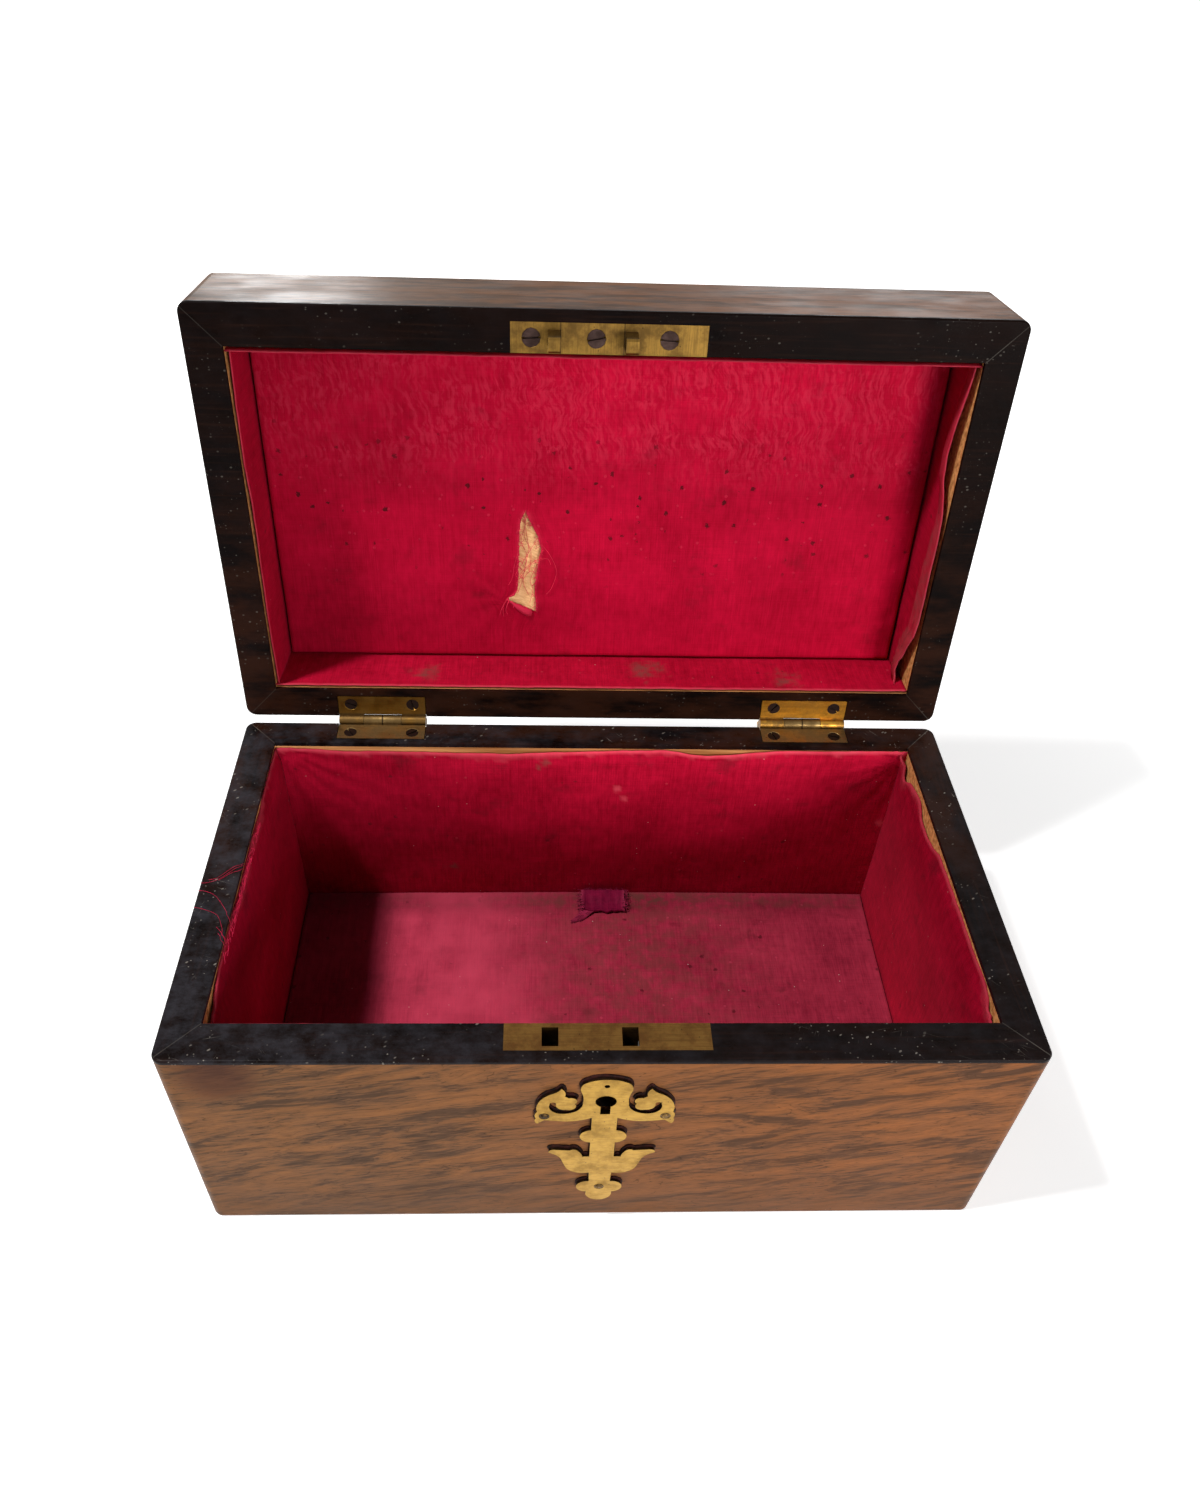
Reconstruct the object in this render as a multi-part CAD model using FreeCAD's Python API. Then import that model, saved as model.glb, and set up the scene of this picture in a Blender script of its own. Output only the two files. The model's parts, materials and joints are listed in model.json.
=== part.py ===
import FreeCAD, Part
import math
import os

from FreeCAD import Vector

# A veneered wooden box with a hinged lid, a silk lining and a box lock.
# Millimetres. +X is right, +Y is back, +Z is up, and the origin is under the middle of the box.
# The lid is drawn closed and then swung back to where its stop hinges hold it.

# Overall sizes
WIDTH = 250.0
DEPTH = 141.5
BOX_HEIGHT = 91.0
LID_HEIGHT = 35.5
RIM_GAP = 0.3
OPEN_ANGLE = 97.0
CORNER_RADIUS = 3.4
RIM_EDGE_RADIUS = 0.7
FOOT_EDGE_RADIUS = 0.9
LID_EDGE_RADIUS = 1.1
OVERRUN = 1.0
TOUCH = 0.001

# Boards, veneers and the ebonised rims
FRONT_BOARD = 11.0
BACK_BOARD = 9.9
SIDE_BOARD = 10.1
BOTTOM_BOARD = 9.5
LID_TOP_BOARD = 8.5
VENEER = 1.4
RIM = 1.5
CORNER_LAP = 4.5
BOTTOM_REBATE = 4.0

# Silk lining over card, the loose floor, its ribbon pull and the padded ceiling
LINING = 1.4
LINING_DROP = 1.6
FLOOR_PANEL = 3.0
FLOOR_GAP = 0.2
FLOOR_PLAY = 0.6
TAB_WIDTH = 18.0
TAB_LENGTH = 11.0
TAB_HEIGHT = 4.4
TAB_OFFSET = 6.0
TAB_SETBACK = 0.6
RIBBON = 0.7
CEILING_PANEL = 4.6
CEILING_CROWN = 1.2
CEILING_ROUND = 1.6
CEILING_PLAY = 0.8

# Stop hinges
HINGE_SPACING_SHARE = 0.612
HINGE_LENGTH = 31.0
MIDDLE_KNUCKLE = 13.3
KNUCKLE_GAP = 0.15
LEAF_REACH = 8.5
LEAF_THICKNESS = 1.5
LEAF_PLAY = 0.25
AXIS_SETBACK = 1.36
BARREL_RADIUS = 2.0
BARREL_PLAY = 0.35
HINGE_PIN_RADIUS = 1.0
HINGE_PIN_PLAY = 0.05
STOP_GAP = 0.1
LIP_REACH = 4.4
LIP_THICKNESS = 1.2

# Wood screws of the hinges
HINGE_SCREW_SPACING = 22.0
HINGE_SCREW_SETBACK = 5.2
HINGE_SCREW_HEAD = 4.7
HINGE_SCREW_SINK = 1.3
HINGE_SCREW_SHANK = 2.2
HINGE_SCREW_LENGTH = 9.0
SLOT_WIDTH_SHARE = 0.17
SLOT_DEPTH_SHARE = 0.4
POINT_SHARE = 0.25
FASTENER_SIDES = 12
SLOT_TURN = 47.0

# Box lock: selvedge, main plate, cap and bolt
LOCK_LENGTH = 58.4
LOCK_SETBACK = 3.5
SELVEDGE = 1.6
MAIN_PLATE = 1.2
MAIN_FLANGE = 5.0
LOCK_DEPTH = 30.0
CAP_WALL = 0.9
CAP_INSET = 0.6
CAP_MARGIN = 1.0
MORTISE_PLAY = 0.3
BOLT_BAR = 5.4
BOLT_THICKNESS = 2.0
BOLT_PLAY = 0.6
BOLT_END = 2.0
BOLT_RISER = 3.0
FINGER_GAP = 0.5
FINGER_PAST = 0.7
TALON_RADIUS = 2.2
STUD_RADIUS = 0.9
STUD_PLAY = 0.2
SPRING_THICKNESS = 0.6
SPRING_ARCH = 2.4
SPRING_LENGTH = 12.0
SPRING_CLEARANCE = 0.4
DRILL_PIN_RADIUS = 1.0
DRILL_PIN_LENGTH = 6.4
LOCK_SCREW_HEAD = 4.0
LOCK_SCREW_SINK = 1.0
LOCK_SCREW_SHANK = 1.8
LOCK_SCREW_LENGTH = 7.0
LOCK_SCREW_DROP = 7.0
LOCK_SCREW_RISE = 5.0

# Link plate on the lid, with the two hooks that enter the lock
LINK_PLATE = 1.6
HOOK_PLACE_SHARES = (-0.555, 0.219)
HOOK_WIDTH = 3.8
HOOK_DEPTH = 4.6
HOOK_LENGTH = 8.0
HOOK_TIP = 1.2
HOOK_ROUND = 1.0
HOOK_SIDE_PLAY = 0.45
HOOK_SWING_PLAY = 0.8
EYE_HEIGHT = 3.2
EYE_WIDTH = 2.6
EYE_PLAY = 0.4
LINK_SCREW_PLACE_SHARES = (-0.79, -0.13, 0.61)
LINK_SCREW_HEAD = 5.8
LINK_SCREW_SINK = 1.5
LINK_SCREW_SHANK = 2.6
LINK_SCREW_LENGTH = 12.0

# Keyhole and the brass escutcheon in front of it
KEY_DROP = 18.75
KEYHOLE_RADIUS = 3.05
KEYHOLE_SLOT = 2.9
KEYHOLE_FOOT = 6.85
KEY_PASSAGE_PLAY = 0.4
ESCUTCHEON_WIDTH = 40.7
ESCUTCHEON_HEIGHT = 70.9
ESCUTCHEON_THICKNESS = 1.4
ESCUTCHEON_KEY_SHARE = 0.838
CROWN_HOLE_RADIUS = 0.8
CROWN_HOLE_SHARE = 0.952
PIN_HEAD = 3.2
PIN_SINK = 1.2
PIN_SHANK = 1.4
PIN_TIP_GAP = 0.4
ARM_PIN_SHARES = (0.866, 0.727)
FOOT_PIN_SHARE = 0.124

# Right half of the escutcheon, from the middle of its foot up to the middle of its crown.
# Each step is a middle point, or None for a straight line, and an end point,
# as shares of half the escutcheon's width and of its height.
ESCUTCHEON_START_SHARES = (0, 0)
ESCUTCHEON_STEP_SHARES = (
    ((0.138, 0.017), (0.194, 0.077)),
    ((0.354, 0.127), (0.162, 0.172)),
    (None, (0.172, 0.252)),
    ((0.374, 0.255), (0.521, 0.293)),
    ((0.565, 0.332), (0.604, 0.373)),
    ((0.668, 0.403), (0.792, 0.428)),
    ((0.782, 0.443), (0.718, 0.452)),
    (None, (0.472, 0.446)),
    ((0.417, 0.453), (0.359, 0.442)),
    ((0.309, 0.418), (0.290, 0.393)),
    (None, (0.182, 0.393)),
    (None, (0.182, 0.514)),
    ((0.342, 0.564), (0.182, 0.613)),
    (None, (0.184, 0.714)),
    ((0.403, 0.691), (0.639, 0.688)),
    (None, (0.865, 0.697)),
    (None, (0.964, 0.670)),
    ((0.996, 0.684), (0.985, 0.711)),
    ((1.000, 0.736), (0.968, 0.761)),
    ((0.916, 0.852), (0.737, 0.900)),
    ((0.678, 0.914), (0.629, 0.934)),
    ((0.577, 0.908), (0.580, 0.878)),
    (None, (0.521, 0.864)),
    ((0.408, 0.849), (0.437, 0.822)),
    ((0.437, 0.787), (0.555, 0.776)),
    ((0.668, 0.787), (0.698, 0.822)),
    ((0.752, 0.834), (0.791, 0.819)),
    ((0.732, 0.759), (0.560, 0.747)),
    ((0.388, 0.773), (0.324, 0.828)),
    ((0.319, 0.863), (0.354, 0.912)),
    ((0.361, 0.942), (0.319, 0.970)),
    ((0.172, 0.993), (0, 1)),
)

# Faces and heights that follow from the sizes, with the lid closed
HALF_WIDTH = WIDTH / 2
FRONT = -DEPTH / 2
BACK = DEPTH / 2
CARCASE_X = HALF_WIDTH - VENEER
CARCASE_FRONT = FRONT + VENEER
CARCASE_BACK = BACK - VENEER
INNER_X = CARCASE_X - SIDE_BOARD
INNER_FRONT = CARCASE_FRONT + FRONT_BOARD
INNER_BACK = CARCASE_BACK - BACK_BOARD
LINED_X = INNER_X - LINING
LINED_FRONT = INNER_FRONT + LINING
LINED_BACK = INNER_BACK - LINING
LID_RIM = BOX_HEIGHT + RIM_GAP
LID_TOP = LID_RIM + LID_HEIGHT
LID_BOARD_TOP = LID_TOP - VENEER
LID_BOARD_UNDER = LID_BOARD_TOP - LID_TOP_BOARD
AXIS_Y = BACK + AXIS_SETBACK
AXIS_Z = BOX_HEIGHT + RIM_GAP / 2
HINGE_SPACING = HINGE_SPACING_SHARE * WIDTH

OUTSIDE = (HALF_WIDTH, FRONT, BACK)
CARCASE = (CARCASE_X, CARCASE_FRONT, CARCASE_BACK)
INSIDE = (INNER_X, INNER_FRONT, INNER_BACK)

RIGHT = Vector(1, 0, 0)
REAR = Vector(0, 1, 0)
UP = Vector(0, 0, 1)

nodes = {}
lid_nodes = {}


# Basic shapes

def block(x0, x1, y0, y1, z0, z1):
    """A box between three pairs of planes."""
    return Part.makeBox(x1 - x0, y1 - y0, z1 - z0, Vector(x0, y0, z0))


def flat_face(points):
    """A flat face inside an outline of straight lines."""
    return Part.Face(Part.makePolygon(points + points[:1]))


def extruded(points, travel):
    """A flat outline of straight lines, pulled along a vector."""
    return flat_face(points).extrude(travel)


def cylinder(start, direction, radius, length):
    return Part.makeCylinder(radius, length, start, direction)


def rounded_outside(low, high, low_radius, high_radius):
    """The outside of the box or the lid, with its upright corners and its edges rounded."""
    body = block(-HALF_WIDTH, HALF_WIDTH, FRONT, BACK, low, high)
    upright = [e for e in body.Edges if e.BoundBox.ZLength > RIM]
    body = body.makeFillet(CORNER_RADIUS, upright)
    for height, radius in ((low, low_radius), (high, high_radius)):
        ring = [e for e in body.Edges
                if abs(e.BoundBox.ZMin - height) < TOUCH and abs(e.BoundBox.ZMax - height) < TOUCH]
        body = body.makeFillet(radius, ring)
    return body


def mitred_frame(outer, inner, low, high):
    """Four strips that fill the space between two rectangles and meet at mitres."""
    def corners(rectangle):
        x, front, back = rectangle
        return [(-x, front), (x, front), (x, back), (-x, back)]

    outside, inside = corners(outer), corners(inner)
    strips = {}
    for index, side in enumerate(("front", "right", "back", "left")):
        following = (index + 1) % len(outside)
        plan = [outside[index], outside[following], inside[following], inside[index]]
        strips[side] = extruded([Vector(x, y, low) for x, y in plan], UP * (high - low))
    return strips


def board_frame(low, high):
    """Four carcase boards, with the ends of the side boards let into the front and back ones."""
    lap_front, lap_back = INNER_FRONT - CORNER_LAP, INNER_BACK + CORNER_LAP
    boards = {
        "front": block(-CARCASE_X, CARCASE_X, CARCASE_FRONT, INNER_FRONT, low, high),
        "back": block(-CARCASE_X, CARCASE_X, INNER_BACK, CARCASE_BACK, low, high),
        "left": block(-CARCASE_X, -INNER_X, lap_front, lap_back, low, high),
        "right": block(INNER_X, CARCASE_X, lap_front, lap_back, low, high),
    }
    for long_side in ("front", "back"):
        boards[long_side] = boards[long_side].cut([boards["left"], boards["right"]])
    return boards


def lining_frame(low, high):
    """Four lined cards that stand against the inside of the boards."""
    return {
        "front": block(-INNER_X, INNER_X, INNER_FRONT, LINED_FRONT, low, high),
        "back": block(-INNER_X, INNER_X, LINED_BACK, INNER_BACK, low, high),
        "left": block(-INNER_X, -LINED_X, LINED_FRONT, LINED_BACK, low, high),
        "right": block(LINED_X, INNER_X, LINED_FRONT, LINED_BACK, low, high),
    }


def ring(radius, height):
    """The corners of a many-sided ring about the Z axis."""
    turns = [2 * math.pi * index / FASTENER_SIDES for index in range(FASTENER_SIDES)]
    return [Vector(radius * math.cos(turn), radius * math.sin(turn), height) for turn in turns]


def fastener(head, sink, shank, length, place, inward):
    """A countersunk screw or pin: its head lies flush at place and its point goes inward.

    Its round faces are many-sided, which keeps it and its holes light.
    """
    straight = length * (1 - POINT_SHARE)
    rings = [ring(head / 2, 0), ring(shank / 2, sink), ring(shank / 2, straight)]
    tip = Vector(0, 0, length)
    faces = [flat_face(rings[0])]
    for index in range(FASTENER_SIDES):
        following = (index + 1) % FASTENER_SIDES
        for near, far in zip(rings, rings[1:]):
            faces.append(flat_face([near[index], near[following], far[following], far[index]]))
        faces.append(flat_face([rings[-1][index], rings[-1][following], tip]))
    shell = Part.makeShell(faces)
    shell.sewShape()
    solid = Part.makeSolid(shell)
    solid.Placement = FreeCAD.Placement(place, FreeCAD.Rotation(UP, inward))
    return solid


def slotted(screw, head, sink, place, inward, turn):
    """The same screw with a driver's slot across its head, turned by an angle."""
    width, depth = head * SLOT_WIDTH_SHARE, sink * SLOT_DEPTH_SHARE
    slot = block(-head, head, -width / 2, width / 2, -OVERRUN, depth)
    slot.rotate(Vector(0, 0, 0), UP, turn)
    slot.Placement = FreeCAD.Placement(place, FreeCAD.Rotation(UP, inward)).multiply(slot.Placement)
    return screw.cut(slot)


# Carcase, veneers and rims

box_outside = rounded_outside(0, BOX_HEIGHT, FOOT_EDGE_RADIUS, RIM_EDGE_RADIUS)
lid_outside = rounded_outside(LID_RIM, LID_TOP, RIM_EDGE_RADIUS, LID_EDGE_RADIUS)

bottom_board = block(
    -INNER_X - BOTTOM_REBATE, INNER_X + BOTTOM_REBATE,
    INNER_FRONT - BOTTOM_REBATE, INNER_BACK + BOTTOM_REBATE,
    0, BOTTOM_BOARD,
)
box_boards = board_frame(0, BOX_HEIGHT - RIM)
box_boards = {side: board.cut(bottom_board) for side, board in box_boards.items()}
lid_boards = board_frame(LID_RIM + RIM, LID_BOARD_UNDER)
box_veneers = mitred_frame(OUTSIDE, CARCASE, 0, BOX_HEIGHT - RIM)
lid_veneers = mitred_frame(OUTSIDE, CARCASE, LID_RIM + RIM, LID_BOARD_TOP)
box_rims = mitred_frame(OUTSIDE, INSIDE, BOX_HEIGHT - RIM, BOX_HEIGHT)
lid_rims = mitred_frame(OUTSIDE, INSIDE, LID_RIM, LID_RIM + RIM)
lid_top_board = block(
    -CARCASE_X, CARCASE_X, CARCASE_FRONT, CARCASE_BACK, LID_BOARD_UNDER, LID_BOARD_TOP)
lid_top_veneer = block(-HALF_WIDTH, HALF_WIDTH, FRONT, BACK, LID_BOARD_TOP, LID_TOP)

for family in (box_boards, box_veneers, box_rims):
    for side in family:
        family[side] = family[side].common(box_outside)
for family in (lid_boards, lid_veneers, lid_rims):
    for side in family:
        family[side] = family[side].common(lid_outside)
lid_top_board = lid_top_board.common(lid_outside)
lid_top_veneer = lid_top_veneer.common(lid_outside)


# Stop hinges

def along_axis(radius, x0, x1):
    return cylinder(Vector(x0, AXIS_Y, AXIS_Z), RIGHT, radius, x1 - x0)


def stop_lip(x0, x1, inner, outer, up):
    """The flange behind the barrel that meets the other leaf's flange when the lid is open."""
    half_turn = math.radians(OPEN_ANGLE / 2)
    ray = Vector(0, math.cos(half_turn), up * math.sin(half_turn))
    side = Vector(0, -math.sin(half_turn), up * math.cos(half_turn))
    start = Vector(x0, AXIS_Y, AXIS_Z)
    near, far = side * (STOP_GAP / 2), side * (STOP_GAP / 2 + LIP_THICKNESS)
    outline = [
        start + ray * inner + near,
        start + ray * outer + near,
        start + ray * outer + far,
        start + ray * inner + far,
    ]
    return extruded(outline, RIGHT * (x1 - x0))


def hinge_spans(centre):
    """The stretch of the barrel that the box leaf holds, and the two that the lid leaf holds."""
    x0, x1 = centre - HINGE_LENGTH / 2, centre + HINGE_LENGTH / 2
    middle0, middle1 = centre - MIDDLE_KNUCKLE / 2, centre + MIDDLE_KNUCKLE / 2
    return [(middle0, middle1)], [(x0, middle0 - KNUCKLE_GAP), (middle1 + KNUCKLE_GAP, x1)]


def hinge_leaf(centre, meeting, up, own, others, bore):
    """A leaf: the plate let into the rim, its knuckles and the stop lip behind them."""
    x0, x1 = centre - HINGE_LENGTH / 2, centre + HINGE_LENGTH / 2
    low, high = sorted((meeting, meeting + up * LEAF_THICKNESS))
    leaf = block(x0, x1, BACK - LEAF_REACH, AXIS_Y, low, high)
    room = BARREL_RADIUS + BARREL_PLAY
    for a, b in others:
        leaf = leaf.cut(along_axis(room, a - KNUCKLE_GAP, b + KNUCKLE_GAP))
    pieces = [stop_lip(x0, x1, room, LIP_REACH, up)]
    for a, b in own:
        pieces.append(along_axis(BARREL_RADIUS, a, b))
        pieces.append(stop_lip(a, b, HINGE_PIN_RADIUS / 2, room, up))
    leaf = leaf.fuse(pieces)
    return leaf.cut(along_axis(bore, x0 - OVERRUN, x1 + OVERRUN)).removeSplitter()


def hinge_room(centre, meeting, up):
    """What the wood loses for one leaf: a recess for its plate and a notch for the barrel."""
    x0 = centre - HINGE_LENGTH / 2 - LEAF_PLAY
    x1 = centre + HINGE_LENGTH / 2 + LEAF_PLAY
    low, high = sorted((meeting - up * OVERRUN, meeting + up * LEAF_THICKNESS))
    recess = block(x0, x1, BACK - LEAF_REACH - LEAF_PLAY, BACK + OVERRUN, low, high)
    return [recess, along_axis(BARREL_RADIUS + BARREL_PLAY, x0, x1)]


hinge_sides = {"left": -HINGE_SPACING / 2, "right": HINGE_SPACING / 2}
leaf_screws = {"box": [], "lid": []}
for hand, centre in hinge_sides.items():
    box_span, lid_span = hinge_spans(centre)
    leaves = {
        "box": hinge_leaf(centre, BOX_HEIGHT, -1, box_span, lid_span, HINGE_PIN_RADIUS + HINGE_PIN_PLAY),
        "lid": hinge_leaf(centre, LID_RIM, 1, lid_span, box_span, HINGE_PIN_RADIUS),
    }
    for owner, meeting, up, families in (
        ("box", BOX_HEIGHT, -1, (box_boards, box_veneers, box_rims)),
        ("lid", LID_RIM, 1, (lid_boards, lid_veneers, lid_rims)),
    ):
        room = hinge_room(centre, meeting, up)
        for family in families:
            family["back"] = family["back"].cut(room)
        for offset in (-HINGE_SCREW_SPACING / 2, HINGE_SCREW_SPACING / 2):
            place = Vector(centre + offset, BACK - HINGE_SCREW_SETBACK, meeting)
            screw = fastener(HINGE_SCREW_HEAD, HINGE_SCREW_SINK, HINGE_SCREW_SHANK,
                             HINGE_SCREW_LENGTH, place, UP * up)
            leaves[owner] = leaves[owner].cut(screw)
            for family in families:
                family["back"] = family["back"].cut(screw)
            turn = SLOT_TURN * len(leaf_screws[owner])
            leaf_screws[owner].append(
                slotted(screw, HINGE_SCREW_HEAD, HINGE_SCREW_SINK, place, UP * up, turn))
    nodes[hand + "_hinge_box_leaf"] = leaves["box"]
    lid_nodes[hand + "_hinge_lid_leaf"] = leaves["lid"]
    lid_nodes[hand + "_hinge_pin"] = along_axis(
        HINGE_PIN_RADIUS, centre - HINGE_LENGTH / 2, centre + HINGE_LENGTH / 2)
nodes["box_hinge_screws"] = Part.makeCompound(leaf_screws["box"])
lid_nodes["lid_hinge_screws"] = Part.makeCompound(leaf_screws["lid"])


# Box lock

LOCK_FRONT = FRONT + LOCK_SETBACK
LOCK_BACK = INNER_FRONT
LOCK_Y = (LOCK_FRONT + LOCK_BACK) / 2
PLATE_FRONT = LOCK_BACK - MAIN_PLATE
SELVEDGE_UNDER = BOX_HEIGHT - SELVEDGE
LOCK_UNDER = BOX_HEIGHT - LOCK_DEPTH
CAP_FRONT = LOCK_FRONT + CAP_INSET
KEY_Z = BOX_HEIGHT - KEY_DROP
HOOK_PLACES = [share * LOCK_LENGTH / 2 for share in HOOK_PLACE_SHARES]
HOOK_UNDER = LID_RIM - HOOK_LENGTH
EYE_LOW = HOOK_UNDER + HOOK_TIP
BOLT_THROW = HOOK_WIDTH + FINGER_GAP + FINGER_PAST
BAR_HIGH = HOOK_UNDER - BOLT_PLAY
BAR_LOW = BAR_HIGH - BOLT_BAR
FINGER_TIPS = [place + HOOK_WIDTH / 2 + FINGER_GAP for place in HOOK_PLACES]
BOLT_LEFT = FINGER_TIPS[0] + BOLT_THROW
BOLT_RIGHT = FINGER_TIPS[-1] + BOLT_THROW + BOLT_RISER
CAP_LEFT = FINGER_TIPS[0] - BOLT_THROW - CAP_MARGIN - CAP_WALL
CAP_RIGHT = BOLT_RIGHT + CAP_MARGIN + CAP_WALL
STUD_X = BOLT_RIGHT - BOLT_END - BOLT_THROW - STUD_PLAY - STUD_RADIUS
STUD_Z = (BAR_LOW + BAR_HIGH) / 2


def keyhole(y0, y1):
    """The round head and straight foot of the keyhole, from one depth to another."""
    head = cylinder(Vector(0, y0, KEY_Z), REAR, KEYHOLE_RADIUS, y1 - y0)
    foot = block(-KEYHOLE_SLOT / 2, KEYHOLE_SLOT / 2, y0, y1, KEY_Z - KEYHOLE_FOOT, KEY_Z)
    return head.fuse(foot)


def lock_bolt():
    """The bar, a riser and a finger beside each hook, the talon for the key and the guide slot."""
    y0, y1 = LOCK_Y - BOLT_THICKNESS / 2, LOCK_Y + BOLT_THICKNESS / 2
    finger_low, finger_high = EYE_LOW + EYE_PLAY, EYE_LOW + EYE_HEIGHT - EYE_PLAY
    bar = block(BOLT_LEFT, BOLT_RIGHT, y0, y1, BAR_LOW, BAR_HIGH)
    pieces = []
    for tip in FINGER_TIPS:
        root = tip + BOLT_THROW
        pieces.append(block(root, root + BOLT_RISER, y0, y1, BAR_LOW, finger_high))
        pieces.append(block(tip, root + BOLT_RISER, y0, y1, finger_low, finger_high))
    talon = cylinder(Vector(BOLT_THROW / 2, y0 - OVERRUN, BAR_LOW), REAR, TALON_RADIUS,
                     BOLT_THICKNESS + OVERRUN * 2)
    half = STUD_RADIUS + STUD_PLAY
    slot = block(STUD_X - half, STUD_X + BOLT_THROW + half, y0 - OVERRUN, y1 + OVERRUN,
                 STUD_Z - half, STUD_Z + half)
    return bar.fuse(pieces).removeSplitter().cut([talon, slot])


def lock_spring():
    """A bent strip, fixed to the left wall of the cap, that presses up under the bolt."""
    x0 = CAP_LEFT + CAP_WALL
    x1 = x0 + SPRING_LENGTH
    crest = BAR_LOW - SPRING_CLEARANCE
    foot = crest - SPRING_ARCH
    y0 = LOCK_Y - BOLT_THICKNESS / 2
    upper = Part.Arc(Vector(x0, y0, foot), Vector((x0 + x1) / 2, y0, crest), Vector(x1, y0, foot))
    drop = UP * -SPRING_THICKNESS
    lower = Part.Arc(Vector(x1, y0, foot) + drop, Vector((x0 + x1) / 2, y0, crest) + drop,
                     Vector(x0, y0, foot) + drop)
    ends = [
        Part.LineSegment(Vector(x1, y0, foot), Vector(x1, y0, foot) + drop),
        Part.LineSegment(Vector(x0, y0, foot) + drop, Vector(x0, y0, foot)),
    ]
    outline = Part.Wire([upper.toShape(), ends[0].toShape(), lower.toShape(), ends[1].toShape()])
    return Part.Face(outline).extrude(REAR * BOLT_THICKNESS)


selvedge = block(-LOCK_LENGTH / 2, LOCK_LENGTH / 2, LOCK_FRONT, LOCK_BACK, SELVEDGE_UNDER, BOX_HEIGHT)
main_plate = block(CAP_LEFT - MAIN_FLANGE, CAP_RIGHT + MAIN_FLANGE, PLATE_FRONT, LOCK_BACK,
                   LOCK_UNDER, SELVEDGE_UNDER)
cap_block = block(CAP_LEFT, CAP_RIGHT, CAP_FRONT, PLATE_FRONT, LOCK_UNDER, SELVEDGE_UNDER)
cap_hollow = block(CAP_LEFT + CAP_WALL, CAP_RIGHT - CAP_WALL, CAP_FRONT + CAP_WALL,
                   PLATE_FRONT + OVERRUN, LOCK_UNDER + CAP_WALL, SELVEDGE_UNDER + OVERRUN)
mortise = block(CAP_LEFT - MORTISE_PLAY, CAP_RIGHT + MORTISE_PLAY, CAP_FRONT - MORTISE_PLAY,
                PLATE_FRONT, LOCK_UNDER - MORTISE_PLAY, SELVEDGE_UNDER)
hook_slots = [
    block(place - HOOK_WIDTH / 2 - HOOK_SIDE_PLAY, place + HOOK_WIDTH / 2 + HOOK_SIDE_PLAY,
          LOCK_Y - HOOK_DEPTH / 2 - HOOK_SWING_PLAY, LOCK_Y + HOOK_DEPTH / 2 + HOOK_SWING_PLAY,
          SELVEDGE_UNDER - OVERRUN, BOX_HEIGHT + OVERRUN)
    for place in HOOK_PLACES
]
guide_stud = cylinder(Vector(STUD_X, LOCK_Y - BOLT_THICKNESS / 2, STUD_Z), REAR, STUD_RADIUS,
                      PLATE_FRONT - LOCK_Y + BOLT_THICKNESS / 2)
drill_pin = cylinder(Vector(0, LOCK_BACK - DRILL_PIN_LENGTH, KEY_Z), REAR, DRILL_PIN_RADIUS,
                     DRILL_PIN_LENGTH)
lock_selvedge = selvedge.cut(hook_slots)
lock_plate = main_plate.fuse(guide_stud).removeSplitter().cut(drill_pin)
lock_cap = cap_block.cut([cap_hollow, keyhole(CAP_FRONT - OVERRUN, CAP_FRONT + CAP_WALL + OVERRUN)])

key_half = KEYHOLE_RADIUS + KEY_PASSAGE_PLAY
key_passage = block(-key_half, key_half, FRONT - OVERRUN, CAP_FRONT,
                    KEY_Z - KEYHOLE_FOOT - KEY_PASSAGE_PLAY, KEY_Z + key_half)
box_rims["front"] = box_rims["front"].cut(selvedge)
box_boards["front"] = box_boards["front"].cut([selvedge, main_plate, mortise, key_passage])
box_veneers["front"] = box_veneers["front"].cut(key_passage)

lock_screws = []
for x in (CAP_LEFT - MAIN_FLANGE / 2, CAP_RIGHT + MAIN_FLANGE / 2):
    for z in (BOX_HEIGHT - LOCK_SCREW_DROP, LOCK_UNDER + LOCK_SCREW_RISE):
        place = Vector(x, LOCK_BACK, z)
        screw = fastener(LOCK_SCREW_HEAD, LOCK_SCREW_SINK, LOCK_SCREW_SHANK, LOCK_SCREW_LENGTH,
                         place, -REAR)
        lock_plate = lock_plate.cut(screw)
        box_boards["front"] = box_boards["front"].cut(screw)
        turn = SLOT_TURN * len(lock_screws)
        lock_screws.append(slotted(screw, LOCK_SCREW_HEAD, LOCK_SCREW_SINK, place, -REAR, turn))

nodes["lock_selvedge"] = lock_selvedge
nodes["lock_plate"] = lock_plate
nodes["lock_cap"] = lock_cap
nodes["lock_drill_pin"] = drill_pin
nodes["lock_spring"] = lock_spring()
nodes["lock_screws"] = Part.makeCompound(lock_screws)
nodes["lock_bolt"] = lock_bolt()


# Link plate and hooks

def link_hook(place):
    """A hook that stands through the link plate, with a rounded tip and an eye for the bolt."""
    x0, x1 = place - HOOK_WIDTH / 2, place + HOOK_WIDTH / 2
    y0, y1 = LOCK_Y - HOOK_DEPTH / 2, LOCK_Y + HOOK_DEPTH / 2
    hook = block(x0, x1, y0, y1, HOOK_UNDER, LID_RIM + LINK_PLATE)
    tip_edges = [e for e in hook.Edges
                 if abs(e.BoundBox.ZMax - HOOK_UNDER) < TOUCH and e.BoundBox.XLength > e.BoundBox.YLength]
    hook = hook.makeFillet(HOOK_ROUND, tip_edges)
    eye = block(x0 - OVERRUN, x1 + OVERRUN, LOCK_Y - EYE_WIDTH / 2, LOCK_Y + EYE_WIDTH / 2,
                EYE_LOW, EYE_LOW + EYE_HEIGHT)
    return hook.cut(eye)


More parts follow.
